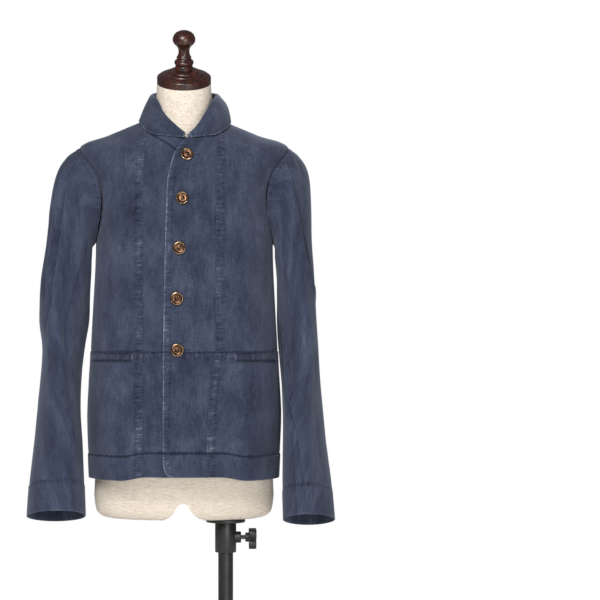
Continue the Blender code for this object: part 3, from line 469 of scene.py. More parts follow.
# The side-back seam bends to the armhole from one ring up and ends at another;
# the back's hem ends a step higher than the side's.
BACK_SEAM_ANGLE, BACK_SEAM_BEND, BACK_SEAM_END, BACK_SEAM_POWER = 61.0, 4.0, 6.25, 3.2
BACK_VENT_STEP = 0.22
# The front edges, as rings and X on each wearer's side.
LEFT_EDGE = ((0.0, -0.0165), (0.05, -0.0215), (0.12, -0.0255), (0.25, -0.0293), (0.45, -0.0322),
             (0.7, -0.0339), (1.0, -0.0345), (3.0, -0.0345), (5.0, -0.031), (7.0, -0.027),
             (8.0, -0.020), (8.6, -0.015), (9.3, -0.004), (10.0, 0.0085))
RIGHT_EDGE = ((0.0, -0.010), (0.3, -0.018), (8.0, -0.018), (9.0, -0.013), (10.0, -0.003))
UNDERLAP_START, UNDERLAP_FULL = 0.017, 0.006


def side_seam(ring):
    """The seam down the side."""
    return 0.0


def armhole(ring):
    """Half the armhole's width at a ring, as an angle."""
    return ARMHOLE_ANGLE * math.sqrt(max(0.0, 1.0 - ((ring - ARMHOLE_MIDDLE) / ARMHOLE_HALF) ** 2))


def front_armhole(ring):
    """The front half of the armhole's seam."""
    return -armhole(ring)


def back_seam(ring):
    """The curved side-back seam, which ends on the armhole."""
    past = max(0.0, (ring - BACK_SEAM_BEND) / (BACK_SEAM_END - BACK_SEAM_BEND))
    return BACK_SEAM_ANGLE - (BACK_SEAM_ANGLE - ARMHOLE_ANGLE + 0.3) * past**BACK_SEAM_POWER


def back_near_edge(ring):
    """The back panel's edge: the side-back seam, then the armhole."""
    return back_seam(ring) if ring < BACK_SEAM_END - 0.01 else armhole(ring)


def centre_back(ring):
    """The seam down the middle of the back."""
    return 90.0


def left_princess(ring):
    """The long front seam on the wearer's left."""
    return angle_at(line_through(PRINCESS_LINES[1], ring), ring)


def right_princess(ring):
    """The long front seam on the wearer's right."""
    return angle_at(line_through(PRINCESS_LINES[-1], ring), ring)


def left_edge(ring):
    """The left front's free edge, which lies on top."""
    return angle_at(line_through(LEFT_EDGE, ring), ring)


def right_edge(ring):
    """The right front's edge, hidden under the left one."""
    return angle_at(line_through(RIGHT_EDGE, ring), ring)


def underlap(angle, ring):
    """How deep the right front lies under the left one."""
    x = body_surface(1, angle, ring).x
    edge = -line_through(LEFT_EDGE, ring)
    return UNDERLAP_DEPTH * smooth_step(-x, -edge - UNDERLAP_START, -edge - UNDERLAP_FULL)


SEAM_SLIT = 0.00012
# How many rows follow the armhole's oval, how near to it other rows come, and
# how near to the end of the side-back seam the row before it lies.
OVAL_ROWS, OVAL_MARGIN, LAST_ROW = 64, 0.03, 0.015
# The rings where the hem is stitched, by the ring where it ends, and the rows
# set close together there; then the neck piece's seam as X and Z of its ends, and its painted shade.
HEM_RINGS = {HEM: 1.08, BACK_VENT_STEP: 1.30}
HEM_ROWS = (-0.055, -0.028, 0.0, 0.028, 0.055)
NECK_SEAM, NECK_SEAM_SHADE = ((-0.0560, 1.1650), (-0.0135, 1.1390)), 0.8
# How far apart rows and columns of points lie, and where they start at an edge.
ROW_STEP, COLUMN_STEP = 0.0034, 0.0038
EDGE_STEPS = (0.0, 0.0009, 0.0020, 0.0036)


def no_depth(angle, ring):
    """The depth of a panel that lies on the body's own surface."""
    return 0.0


def spread(length, step):
    """Places from 0 to 1 along a length, closer together near both ends."""
    ends = [d / length for d in EDGE_STEPS]
    count = max(2, round((length - 2 * EDGE_STEPS[-1]) / step))
    middle = [ends[-1] + (1 - 2 * ends[-1]) * k / count for k in range(1, count)]
    return ends + middle + [1 - e for e in reversed(ends)]


def ring_rows(low, high):
    """Rows of a panel between two rings: even, but round the armhole's oval where it passes it."""
    span = sum(
        (body_surface(1, -60.0, r + 0.1) - body_surface(1, -60.0, r)).length
        for r in np.arange(low, high - 0.05, 0.1)
    )
    rows = [low + (high - low) * f for f in spread(span, ROW_STEP)]
    if low in HEM_RINGS:
        rows += [HEM_RINGS[low] + step for step in HEM_ROWS]
    if low < TIP and high > UNDERARM:
        turns = [math.pi * k / OVAL_ROWS for k in range(OVAL_ROWS + 1)]
        oval = [ARMHOLE_MIDDLE - ARMHOLE_HALF * math.cos(t) for t in turns]
        rows = [r for r in rows if not UNDERARM - OVAL_MARGIN < r < TIP + OVAL_MARGIN]
        rows += [r for r in oval if low <= r <= high]
        if low < BACK_SEAM_END < high:
            rows += [BACK_SEAM_END - LAST_ROW, BACK_SEAM_END]
    return sorted(set(rows + [low, high]))


def neck_seam(side, points):
    """How near each point lies to the slanting seam of the right front's neck piece, 1 on it."""
    if side > 0:
        return np.zeros(points.shape[:2])
    start, end = np.array(NECK_SEAM)
    place, run = points[..., ::2] - start, end - start
    share = np.clip((place @ run) / (run @ run), 0.0, 1.0)
    off = np.linalg.norm(place - share[..., None] * run, axis=-1)
    return np.exp(-((off / GROOVE_WIDTH) ** 2)) * (points[..., 1] < 0)


def crumpled(side, angle, ring, depth):
    """A point of the body's cloth with its small creases, depth below its outer face."""
    place = body_surface(side, angle, ring)
    height = body_fold(side, angle, ring) + crumple(place)
    return place + body_normal(side, angle, ring) * (height - depth)


# The points along each edge of a grid, and the ones just inside them.
EDGE_PLACES = {
    "near": (np.s_[:, 0], np.s_[:, 1]), "far": (np.s_[:, -1], np.s_[:, -2]),
    "low": (np.s_[0, :], np.s_[1, :]), "high": (np.s_[-1, :], np.s_[-2, :]),
}


def draw_in(grid, edges):
    """Moves the edges of a grid inwards by the slit of a seam."""
    for edge, inside in (EDGE_PLACES[name] for name in edges):
        inward = grid[inside] - grid[edge]
        grid[edge] += inward / (np.linalg.norm(inward, axis=1, keepdims=True) + 1e-9) * SEAM_SLIT


def body_panel(name, side, low, high, near, far, styles, depth=no_depth, held="stretched"):
    """A panel between two seams and two rings, with its edges sewn as the styles say."""
    rings = ring_rows(low, high)
    middle = (low + high) / 2
    a, b = near(middle), far(middle)
    width = sum((body_surface(1, a + (b - a) * (k + 1) / 20, middle)
                 - body_surface(1, a + (b - a) * k / 20, middle)).length for k in range(20))
    shares = spread(width, COLUMN_STEP)
    places = [[(near(r) + (far(r) - near(r)) * s, r) for s in shares] for r in rings]
    smooth = np.array([[body_surface(side, a, r) for a, r in row] for row in places])
    stitched_at = HEM_RINGS.get(low)
    hem_row = int(np.argmin(np.abs(np.array(rings) - stitched_at))) if stitched_at else None
    height, marks, across, up = sewn(smooth, styles, hem_row)
    joined = neck_seam(side, smooth)
    # The neck piece's seam is a groove, with painted shade darkening the cloth along it.
    height -= GROOVE_DEPTH * joined
    marks["worn"] -= NECK_SEAM_SHADE * joined
    outer = np.array([[crumpled(side, a, r, depth(a, r) - height[i][j]) for j, (a, r) in enumerate(row)]
                      for i, row in enumerate(places)])
    normals = np.array([[body_normal(side, a, r) for a, r in row] for row in places])
    draw_in(outer, ("near", "far", "low", "high"))
    made = shell(name, outer, outer - normals * CLOTH, marks, across, up, COTTON, held=held,
                 rests_on=["dress_form"])
    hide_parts(name)
    return made


FRONTS = {
    "left": (left_edge, left_princess, no_depth, "free"),
    "right": (right_edge, right_princess, underlap, "hidden"),
}
for word, side in SIDES.items():
    edge, princess_seam, depth, lap = FRONTS[word]
    body_panel(f"front_centre_{word}", side, WAIST, NECKLINE, edge, princess_seam,
               {"near": lap, "far": "seam", "low": "waist", "high": "seam"}, depth)
    body_panel(f"front_side_{word}", side, WAIST, NECKLINE, princess_seam, front_armhole,
               {"near": "fell", "far": "single", "low": "waist", "high": "seam"})
    body_panel(f"underarm_{word}", side, WAIST, BACK_SEAM_END, armhole, back_seam,
               {"near": "seam", "far": "seam", "low": "waist", "high": "seam"})
    body_panel(f"back_{word}", side, BACK_VENT_STEP, NECKLINE, back_near_edge, centre_back,
               {"near": "fell", "far": "single", "low": "hem", "high": "seam"})
    body_panel(f"front_skirt_{word}", side, HEM, WAIST, edge, princess_seam,
               {"near": lap, "far": "seam", "low": "hem", "high": "waistband"}, depth)
    body_panel(f"hip_skirt_{word}", side, HEM, WAIST, princess_seam, side_seam,
               {"near": "fell", "far": "single", "low": "hem", "high": "waistband"})
    body_panel(f"side_skirt_{word}", side, HEM, WAIST, side_seam, back_seam,
               {"near": "fell", "far": "seam", "low": "hem", "high": "waistband"})


# A pocket opens at each side of the waist seam: its mouth is a doubled strip
# of the same cotton, lying on the skirt and stitched down along both edges.
WELT_X = (0.084, 0.150)
WELT_TOP, WELT_BOTTOM, WELT_LIFT, WELT_PUCKERS = 2.985, 2.86, 0.0006, 0.6
WELT_STYLES = {"near": "collar", "far": "collar", "low": "mouth", "high": "mouth"}
for word, side in SIDES.items():
    rows = [WELT_BOTTOM + (WELT_TOP - WELT_BOTTOM) * k / 8 for k in range(9)]
    columns = [WELT_X[0] + (WELT_X[1] - WELT_X[0]) * k / 40 for k in range(41)]
    places = [[(angle_at(x, r), r) for x in columns] for r in rows]
    smooth = np.array([[body_surface(side, a, r) for a, r in row] for row in places])
    height, marks, across, up = sewn(smooth, WELT_STYLES)
    marks["rungs_across"] = np.maximum(marks["rungs_across"], WELT_PUCKERS)
    outer = np.array([[crumpled(side, a, r, -WELT_LIFT - CLOTH) for a, r in row] for row in places])
    inner = np.array([[crumpled(side, a, r, -WELT_LIFT) for a, r in row] for row in places])
    name = f"pocket_welt_{word}"
    welt = shell(name, outer, inner, marks, across, up, COTTON, held="stretched",
                 rests_on=[f"hip_skirt_{word}"])
    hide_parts(name)


# The sleeves: a top and an under sleeve each, set into the armhole and hanging
# straight with a turned-up cuff, folded where the cloth of an empty arm falls.

# Sleeve sections from below the armhole to the cuff: the outer and the inner
# end of each section in X and Z, its front and back in Y, how far its front
# end turns in, and how much higher its front is than its back.
SLEEVE_COLUMNS = ("outer_x", "outer_z", "inner_x", "inner_z", "front_y", "back_y", "turn_in", "rise")
LEFT_SLEEVE = (
    (0.193, 1.131, 0.1560, 0.972, -0.049, 0.086, 0.014, 0.000),
    (0.2075, 1.104, 0.1570, 0.952, -0.049, 0.094, 0.016, 0.000),
    (0.2145, 1.050, 0.1575, 0.925, -0.047, 0.100, 0.010, 0.004),
    (0.217, 0.985, 0.1570, 0.892, -0.047, 0.101, 0.003, 0.008),
    (0.2205, 0.920, 0.1575, 0.855, -0.053, 0.096, -0.003, 0.012),
    (0.223, 0.855, 0.1600, 0.815, -0.062, 0.088, -0.004, 0.016),
    (0.227, 0.790, 0.1635, 0.765, -0.073, 0.083, -0.002, 0.020),
    (0.232, 0.722, 0.1655, 0.705, -0.085, 0.071, 0.006, 0.022),
    (0.238, 0.655, 0.1650, 0.645, -0.097, 0.050, 0.008, 0.024),
    (0.2445, 0.588, 0.1640, 0.583, -0.105, 0.026, 0.006, 0.025),
    (0.2495, 0.525, 0.1650, 0.524, -0.106, 0.008, 0.004, 0.028),
)
RIGHT_SLEEVE = (
    (0.196, 1.131, 0.1560, 0.972, -0.052, 0.082, 0.014, 0.000),
    (0.214, 1.100, 0.1575, 0.952, -0.056, 0.085, 0.016, 0.000),
    (0.2255, 1.042, 0.1570, 0.925, -0.059, 0.087, 0.012, 0.004),
    (0.231, 0.980, 0.1580, 0.892, -0.061, 0.087, 0.002, 0.008),
    (0.238, 0.918, 0.1600, 0.855, -0.067, 0.083, -0.006, 0.012),
    (0.241, 0.855, 0.1665, 0.815, -0.074, 0.077, -0.006, 0.016),
    (0.2365, 0.800, 0.1710, 0.765, -0.082, 0.073, -0.001, 0.020),
    (0.2445, 0.722, 0.1720, 0.705, -0.090, 0.065, 0.004, 0.022),
    (0.250, 0.655, 0.1690, 0.645, -0.099, 0.048, 0.008, 0.024),
    (0.2565, 0.592, 0.1660, 0.587, -0.105, 0.026, 0.008, 0.025),
    (0.2600, 0.531, 0.1640, 0.530, -0.106, 0.008, 0.008, 0.028),
)

# Folds of each sleeve: where each starts and ends, as an angle round
# the sleeve and a station down it, half its width in degrees and its height.
SLEEVE_FOLDS = {
    1: (
        (40, 0.7, 46, 3.8, 13, -0.0050),
        (68, 0.9, 70, 4.0, 15, 0.0035),
        (103, 8.2, 97, 11.4, 12, -0.0040),
        (88, 8.0, 72, 11.4, 16, 0.0030),
        (-60, 2.0, -75, 7.0, 18, 0.0050),
        (-35, 3.0, -40, 9.0, 16, -0.0040),
    ),
    -1: (
        (10, 1.4, 32, 5.6, 11, 0.0030),
        (30, 0.7, 64, 5.6, 13, -0.0050),
        (54, 0.7, 88, 5.6, 14, 0.0040),
        (84, 2.4, 126, 7.8, 14, -0.0035),
        (-60, 2.0, -75, 7.0, 18, 0.0050),
        (-35, 3.0, -40, 9.0, 16, -0.0040),
    ),
}


def sleeve_fold(side, turn, station):
    """The height of a sleeve's large folds at a turn and a station."""
    total = 0.0
    for t0, s0, t1, s1, half_width, height in SLEEVE_FOLDS[side]:
        along = (station - s0) / (s1 - s0)
        off = (turn - (t0 + (t1 - t0) * along) + 180.0) % 360.0 - 180.0
        taper = smooth_step(along, -0.12, 0.2) * smooth_step(-along, -1.12, -0.8)
        total += height * taper * math.exp(-((off / half_width) ** 2))
    return total


def sleeve_section(side, row, turn):
    """A point of one section of the sleeve."""
    s = dict(zip(SLEEVE_COLUMNS, row))
    out = Vector(((s["outer_x"] - s["inner_x"]) / 2, 0.0, (s["outer_z"] - s["inner_z"]) / 2))
    centre = Vector((
        (s["outer_x"] + s["inner_x"]) / 2,
        (s["front_y"] + s["back_y"]) / 2,
        (s["outer_z"] + s["inner_z"]) / 2,
    ))
    forward = Vector((-s["turn_in"], (s["front_y"] - s["back_y"]) / 2, s["rise"] / 2))
    place = centre + out * math.cos(math.radians(turn)) + forward * math.sin(math.radians(turn))
    return Vector((side * place.x, place.y, place.z))


# How the sleeve's head takes the armhole's slope, and over how many stations.
SLEEVE_CAP_SHARE, CAP_STATIONS = 0.35, 0.3
# Its length and radius, how far apart its columns lie, its last station, and
# the station from which its creases are at their full height.
SLEEVE_LENGTH, SLEEVE_RADIUS, TURN_STEP, LAST_STATION = 0.62, 0.068, 0.0031, 11.0
SETTLED = 0.8

# Sharper creases of the sleeves, placed from the photo. A lap is a ridge
# with a hollow beside it, towards the lower turns, where the cloth hangs over
# itself. Then come half its width, its height, and its path as stations and turns.
SLEEVE_CREASES = {
    1: (
        ("lap", 5.0, 0.0048, ((0.2, 44), (1.5, 55), (2.7, 61), (3.3, 60), (4.3, 52), (5.0, 38),
                              (5.5, 8))),
        ("ridge", 6.0, -0.0020, ((0.9, 16), (2.0, 24), (3.2, 34))),
        ("lap", 6.0, -0.0046, ((5.2, 150), (7.3, 148), (8.1, 120), (8.8, 102), (9.5, 93), (10.0, 89),
                               (11.2, 87))),
        ("ridge", 8.0, -0.0016, ((3.4, 96), (5.0, 100), (6.6, 98))),
        ("ridge", 7.0, 0.0012, ((5.0, 74), (6.2, 60), (7.2, 34))),
        ("ridge", 8.0, -0.0014, ((6.6, 46), (8.4, 50), (10.4, 44))),
        ("ridge", 8.0, -0.0026, ((1.6, -50), (5.0, -64))),
        ("lap", 7.0, 0.0020, ((3.4, -95), (6.0, -70))),
        ("ridge", 7.0, -0.0022, ((5.2, -88), (6.6, -60))),
        ("lap", 8.0, 0.0018, ((6.4, -60), (8.6, -84), (10.6, -80))),
    ),
    -1: (
        ("lap", 5.0, 0.0048, ((0.4, 38), (1.5, 42), (2.4, 48), (3.2, 54), (4.2, 64), (5.3, 75),
                              (6.3, 60))),
        ("lap", 5.0, 0.0032, ((1.4, 20), (2.8, 24), (4.3, 36), (5.6, 56))),
        ("ridge", 8.0, -0.0028, ((2.0, 80), (3.8, 92), (5.6, 108), (6.3, 116), (7.7, 126), (8.8, 106))),
        ("ridge", 8.0, -0.0022, ((2.4, 112), (4.6, 124), (5.9, 136))),
        ("ridge", 7.0, 0.0014, ((5.4, 98), (6.4, 74), (7.2, 44))),
        ("ridge", 9.0, -0.0016, ((6.8, 66), (8.4, 72), (10.4, 64))),
        ("lap", 7.0, 0.0014, ((8.0, 110), (9.4, 124), (10.6, 128))),
        ("ridge", 8.0, -0.0026, ((1.6, -50), (5.0, -64))),
        ("lap", 7.0, 0.0020, ((3.4, -95), (6.0, -70))),
        ("ridge", 7.0, -0.0022, ((5.2, -88), (6.6, -60))),
    ),
}
CREASE_START, CREASE_END = 0.15, 0.55


def crease(side, turn, station):
    """The height of a sleeve's sharper creases at a turn and a station."""
    total = 0.0
    for kind, half_width, height, path in SLEEVE_CREASES[side]:
        first, last = path[0][0], path[-1][0]
        taper = smooth_step(station, first - CREASE_START, first + CREASE_END)
        taper *= smooth_step(-station, -last - CREASE_START, -last + CREASE_END)
        if taper == 0.0:
            continue
        off = ((turn - line_through(path, station) + 180.0) % 360.0 - 180.0) / half_width
        shape = off * math.exp(0.5 - 0.5 * off * off) if kind == "lap" else math.exp(-off * off)
        total += height * taper * shape
    return total


def sleeve_grid(side, table, turns, stations):
    """Points and outward normals of a sleeve at turns round it and stations down it."""
    cap = [(-ARMHOLE_ANGLE * math.sin(math.radians(t)),
            ARMHOLE_MIDDLE + ARMHOLE_HALF * math.cos(math.radians(t))) for t in turns]
    loop = np.array([cloth_point(side, a, r) for a, r in cap])
    cap_normals = np.array([body_normal(side, a, r) for a, r in cap])
    rings = [loop] + [np.array([sleeve_section(side, row, t) for t in turns]) for row in table]
    grid = []
    for at in stations:
        low = min(max(int(at), 0), len(rings) - 2)
        f = at - low
        p, q, r, s = (rings[min(max(low + k, 0), len(rings) - 1)] for k in (-1, 0, 1, 2))
        bend, twist = 2 * p - 5 * q + 4 * r - s, 3 * q - p - 3 * r + s
        grid.append(0.5 * (2 * q + (r - p) * f + bend * f**2 + twist * f**3))
    grid = np.array(grid)
    around = np.gradient(grid, axis=1)
    down = np.gradient(grid, axis=0)
    normals = np.cross(around, down)
    normals /= np.linalg.norm(normals, axis=2, keepdims=True) + 1e-12
    centres = grid.mean(axis=1, keepdims=True)
    normals *= np.sign(((grid - centres) * normals).sum(axis=2, keepdims=True).mean())
    over = np.maximum(0.0, np.cos(np.radians(turns)) + SLEEVE_CAP_SHARE)[:, None] / (1 + SLEEVE_CAP_SHARE)
    for i, at in enumerate(stations):
        if at < CAP_STATIONS:
            share = over * (1 - at / CAP_STATIONS)
            normals[i] = normals[i] * (1 - share) + cap_normals * share
    return grid, normals / np.linalg.norm(normals, axis=2, keepdims=True)


def sleeve_piece(name, side, table, start, end):
    """One of a sleeve's two pieces, between two turns, with sewn edges and a turned-up cuff."""
    span = math.radians((end - start) % 360.0) * SLEEVE_RADIUS
    turns = [start + ((end - start) % 360.0) * s for s in spread(span, TURN_STEP)]
    stations = [LAST_STATION * s for s in spread(SLEEVE_LENGTH, ROW_STEP)]
    grid, normals = sleeve_grid(side, table, turns, stations)
    styles = {"near": "seam", "far": "seam", "low": "armhole", "high": "cuff"}
    if "under" in name:
        styles["far"] = "single"
    height, marks, across, up = sewn(grid, styles)
    for i, at in enumerate(stations):
        for j, turn in enumerate(turns):
            wrapped = (turn + 180.0) % 360.0 - 180.0
            settle = smooth_step(at, 0.0, SETTLED)
            height[i][j] += sleeve_fold(side, wrapped, at) + settle * crease(side, wrapped, at)
            height[i][j] += settle * crumple(Vector(grid[i][j]))
    outer = grid + normals * height[..., None]
    draw_in(outer, ("near", "far", "low"))
    made = shell(name, outer, outer - normals * CLOTH, marks, across, up, COTTON, held="hung",
                 rests_on=["dress_form"])
    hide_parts(name)
    return outer, normals


# The turns where the front and the back seam of a sleeve run down it.
FORE, HIND = 115.7, 259.6
SLEEVES = {}
for word, table in (("left", LEFT_SLEEVE), ("right", RIGHT_SLEEVE)):
    SLEEVES["top", word] = sleeve_piece(f"sleeve_top_{word}", SIDES[word], table, HIND - 360.0, FORE)
    SLEEVES["under", word] = sleeve_piece(f"sleeve_under_{word}", SIDES[word], table, FORE, HIND)


# The collar is one doubled piece, turned down along its roll line, narrow at
# its rounded front ends and topstitched near its edge.

# Collar stations from the front end (0) round to the centre back (8): where
# its seam meets the neckline, its roll line, and where its edge lies on the body.
COLLAR_COLUMNS = ("seam_angle", "roll_x", "roll_y", "roll_z", "edge_angle", "edge_ring")
COLLAR_ROWS = (
    (-86.0, 0.0040, -0.0650, 1.1635, -85.5, 9.80),
    (-72.0, 0.0170, -0.0590, 1.1755, -69.5, 9.72),
    (-55.0, 0.0300, -0.0460, 1.1920, -58.0, 9.57),
    (-36.0, 0.0400, -0.0270, 1.2080, -43.0, 9.60),
    (-16.0, 0.0480, -0.0050, 1.2240, -27.0, 9.70),
    (5.0, 0.0535, 0.0220, 1.2325, -4.0, 9.80),
    (30.0, 0.0515, 0.0530, 1.2385, 27.0, 9.84),
    (58.0, 0.0350, 0.0800, 1.2430, 57.0, 9.88),
    (90.0, 0.0000, 0.0930, 1.2440, 90.0, 9.88),
)
# The collar's ends are moved to the wearer's left. Its doubled cloth turns over
# at the roll line, bulges a little, clears the body and rises from its seam.
COLLAR_CENTRE_SHIFT, COLLAR_PLY, COLLAR_TURN = 0.0055, 0.0024, 0.0062
COLLAR_ROLL_DROP, COLLAR_ROLL_ROUND, COLLAR_BULGE = 0.0022, 0.0012, 0.0045
COLLAR_CLEAR, COLLAR_SEAM_RISE, NECK_MIDDLE_Y = 0.0016, 0.0017, 0.026
# On the wearer's right it is pressed in, further up and flatter.
COLLAR_RIGHT_IN, COLLAR_RIGHT_UP, COLLAR_RIGHT_FLAT = 0.0030, 0.07, 0.8


def collar_station(side, at):
    """The middle line of the collar's cloth at one station, from seam to edge."""
    row = dict(zip(COLLAR_COLUMNS, curve_through(COLLAR_ROWS, at)))
    pressed = smooth_step(at, 2.0, 4.0) * smooth_step(-at, -8.0, -6.0) if side < 0 else 0.0
    shift = Vector((COLLAR_CENTRE_SHIFT * (1 - smooth_step(at, 0.0, 3.0)), 0.0, 0.0))
    seam = cloth_point(side, row["seam_angle"], NECKLINE, CLOTH / 2)
    climb = seam - cloth_point(side, row["seam_angle"], NECKLINE - 0.05, CLOTH / 2)
    seam += climb.normalized() * COLLAR_SEAM_RISE
    roll = Vector((side * (row["roll_x"] - COLLAR_RIGHT_IN * pressed), row["roll_y"], row["roll_z"]))
    lift = COLLAR_PLY / 2 + COLLAR_CLEAR
    edge = cloth_point(side, row["edge_angle"], row["edge_ring"] + COLLAR_RIGHT_UP * pressed, -lift)
    if at < 3.0:
        roll, edge = roll + shift, edge + shift
    flat_out = Vector((roll.x, roll.y - NECK_MIDDLE_Y, 0.0)).normalized()
    turn = min(COLLAR_TURN, 0.45 * (edge - roll).length)
    over = roll + flat_out * turn
    bulge = (flat_out + Vector((0.0, 0.0, 0.6))) * COLLAR_BULGE * min(1.0, (edge - over).length / 0.03)
    bulge *= 1.0 - COLLAR_RIGHT_FLAT * pressed
    return [
        seam,
        seam.lerp(roll, 0.5),
        roll - Vector((0.0, 0.0, COLLAR_ROLL_DROP)),
        roll.lerp(over, 0.5) + Vector((0.0, 0.0, COLLAR_ROLL_ROUND)),
        over - Vector((0.0, 0.0, COLLAR_ROLL_ROUND)),
        over.lerp(edge, 0.38) + bulge,
        over.lerp(edge, 0.72) + bulge * 0.75,
        edge,
    ]


COLLAR_STEP, COLLAR_CREASES = 0.0022, 0.7
COLLAR_STYLES = {"near": "seam", "far": "collar", "low": "collar", "high": "collar"}


def along_line(points, count):
    """Evenly spaced places on a smooth curve through a few points."""
    fine = np.array([curve_through(points, k * (len(points) - 1) / 200) for k in range(201)])
    run = np.concatenate([[0.0], np.cumsum(np.linalg.norm(np.diff(fine, axis=0), axis=1))])
    shares = np.array(spread(run[-1], COLLAR_STEP))
    shares = np.interp(np.linspace(0, 1, count), np.linspace(0, 1, len(shares)), shares)
    return np.stack([np.interp(shares * run[-1], run, fine[:, k]) for k in range(3)], axis=-1)


COLLAR_COLUMNS_COUNT, COLLAR_STATIONS = 38, 168
collar_rows = []
for k in range(COLLAR_STATIONS + 1):
    at = 16.0 * k / COLLAR_STATIONS
    row = collar_station(1, at) if at <= 8.0 else collar_station(-1, 16.0 - at)
    collar_rows.append(along_line([tuple(p) for p in row], COLLAR_COLUMNS_COUNT))
middle_line = np.array(collar_rows)
collar_normals = np.cross(np.gradient(middle_line, axis=1), np.gradient(middle_line, axis=0))
collar_normals /= np.linalg.norm(collar_normals, axis=2, keepdims=True) + 1e-12
height, marks, across, up = sewn(middle_line, COLLAR_STYLES)
for i, row in enumerate(middle_line):
    for j, place in enumerate(row):
        height[i][j] += COLLAR_CREASES * crumple(Vector(place))
collar_outer = middle_line + collar_normals * (height[..., None] + COLLAR_PLY / 2)
collar_inner = middle_line + collar_normals * (height[..., None] * 0.5 - COLLAR_PLY / 2)
collar = shell("collar", collar_outer, collar_inner, marks, across, up, COTTON, held="folded",
               rests_on=["dress_form"])
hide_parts("collar")


# Every seam is sewn with matching thread, and the front edge, hem, pockets,
# cuffs and collar are topstitched: short stitches on lines just above the cloth.
THREAD_LIFT, STITCH_PITCH, STITCH_LENGTH, STITCH_RADIUS = 0.0002, 0.0028, 0.0022, 0.00035


def thread_material(name, colour):
    """Cotton thread, a little uneven in its dye."""
    made, shader, add, links = blank(name, Roughness=0.7, Specular_IOR_Level=0.3)
    place = add("ShaderNodeTexCoord").outputs["Object"]
    fleck = add("ShaderNodeTexNoise", {"Scale": 260.0, "Detail": 2.0}, {"Vector": place}).outputs["Fac"]
    dark = tuple(0.6 * c for c in colour)
    links.new(ramp(add, fleck, (0.35, dark), (0.65, colour)), shader.inputs["Base Color"])
    return made


THREAD = thread_material("matching_thread", (0.040, 0.050, 0.085))


def beside(side, seam, ring, away):
    """A place on the body some way from a seam, towards the back where away is above 0."""
    angle = seam(ring)
    wide = (body_surface(side, angle + 1.0, ring) - body_surface(side, angle - 1.0, ring)).length / 2.0
    return angle + away / wide, ring


def body_line(side, seam, low, high, away, raised=0.0006, depth=no_depth):
    """A line of stitches along a seam, between two rings."""
    places = [beside(side, seam, low + (high - low) * k / 60, away) for k in range(61)]
    return [crumpled(side, a, r, depth(a, r) - raised - THREAD_LIFT) for a, r in places]


def level_line(side, ring, near, far, raised=0.0006, depth=no_depth):
    """A line of stitches round the body at one ring, between two seams."""
    places = [(near(ring) + (far(ring) - near(ring)) * k / 60, ring) for k in range(61)]
    return [crumpled(side, a, r, depth(a, r) - raised - THREAD_LIFT) for a, r in places]


def seat_on_front(x, z):
    """The angle and ring on the left front at an X and Z seen from the front."""
    low, high = HEM, NECKLINE
    for _ in range(30):
        ring = (low + high) / 2
        if body_surface(1, angle_at(x, ring), ring).z < z:
            low = ring
        else:
            high = ring
    return angle_at(x, low), low


# A felled seam has two lines beside it: how far away, and how high they lie.
FELLED = ((0.0022, 0.0006), (0.0122, 0.0001))
WAISTBAND_RINGS, WELT_STITCHED, CUFF_STITCHED = (2.97, 2.84), 0.018, 0.0495
# The stitches of the neck piece's seam, as X and Z of its ends on that side.
NECK_STITCHES = ((0.064, 1.171), (0.0135, 1.139))
lines = []
for word, side in SIDES.items():
    edge, princess_seam, depth = FRONTS[word][:3]
    felled = ((princess_seam, 3.05, 9.95), (princess_seam, 1.1, 2.95), (back_seam, 0.3, 6.15),
              (side_seam, 0.1, 2.95))
    single = ((centre_back, 0.3, 9.9, -0.0030), (front_armhole, 5.2, 7.95, -0.0040),
              (side_seam, 8.1, 9.9, 0.0035))
    lines += [body_line(side, *seam, *height) for height in FELLED for seam in felled]
    lines += [body_line(side, *seam) for seam in single]
    below_waist = ((princess_seam, side_seam), (side_seam, back_seam))
    lines += [level_line(side, ring, *seams) for seams in below_waist for ring in WAISTBAND_RINGS]
    for ring in (WELT_BOTTOM + WELT_STITCHED, WELT_TOP - WELT_STITCHED):
        places = [(angle_at(WELT_X[0] + (WELT_X[1] - WELT_X[0]) * k / 40, ring), ring) for k in range(41)]
        lines.append([crumpled(side, a, r, -WELT_LIFT - CLOTH - THREAD_LIFT) for a, r in places])
    lines.append(level_line(side, HEM_RINGS[HEM], edge, side_seam, 0.0001, depth))
    lines.append(level_line(side, HEM_RINGS[HEM], side_seam, back_seam, 0.0001))
    lines.append(level_line(side, HEM_RINGS[BACK_VENT_STEP], back_seam, centre_back, 0.0001))
lines.append(body_line(1, left_edge, 0.35, 9.6, 0.0115, 0.0001))
lines += [level_line(1, ring, left_edge, left_princess) for ring in WAISTBAND_RINGS]
lines += [level_line(-1, ring, right_edge, right_princess, depth=underlap) for ring in WAISTBAND_RINGS]
neck_line = []
for share in (k / 40 for k in range(41)):
    x, z = (start + (end - start) * share for start, end in zip(*NECK_STITCHES))
    neck_line.append(crumpled(-1, *seat_on_front(x, z), -THREAD_LIFT))
lines.append(neck_line)
for (piece, word), (outer, normals) in SLEEVES.items():
    raised = outer + normals * THREAD_LIFT
    down = lengths(outer, 0)
    row = int(np.argmin(np.abs(down[-1, 0] - down[:, 0] - CUFF_STITCHED)))
    lines.append([Vector(p) for p in raised[row, :]])
    if piece == "top":
        lines.append([Vector(p) for p in raised[6:-2, 3]])
lines.append([Vector(p) for p in (collar_outer + collar_normals * THREAD_LIFT)[3:-3, -4]])


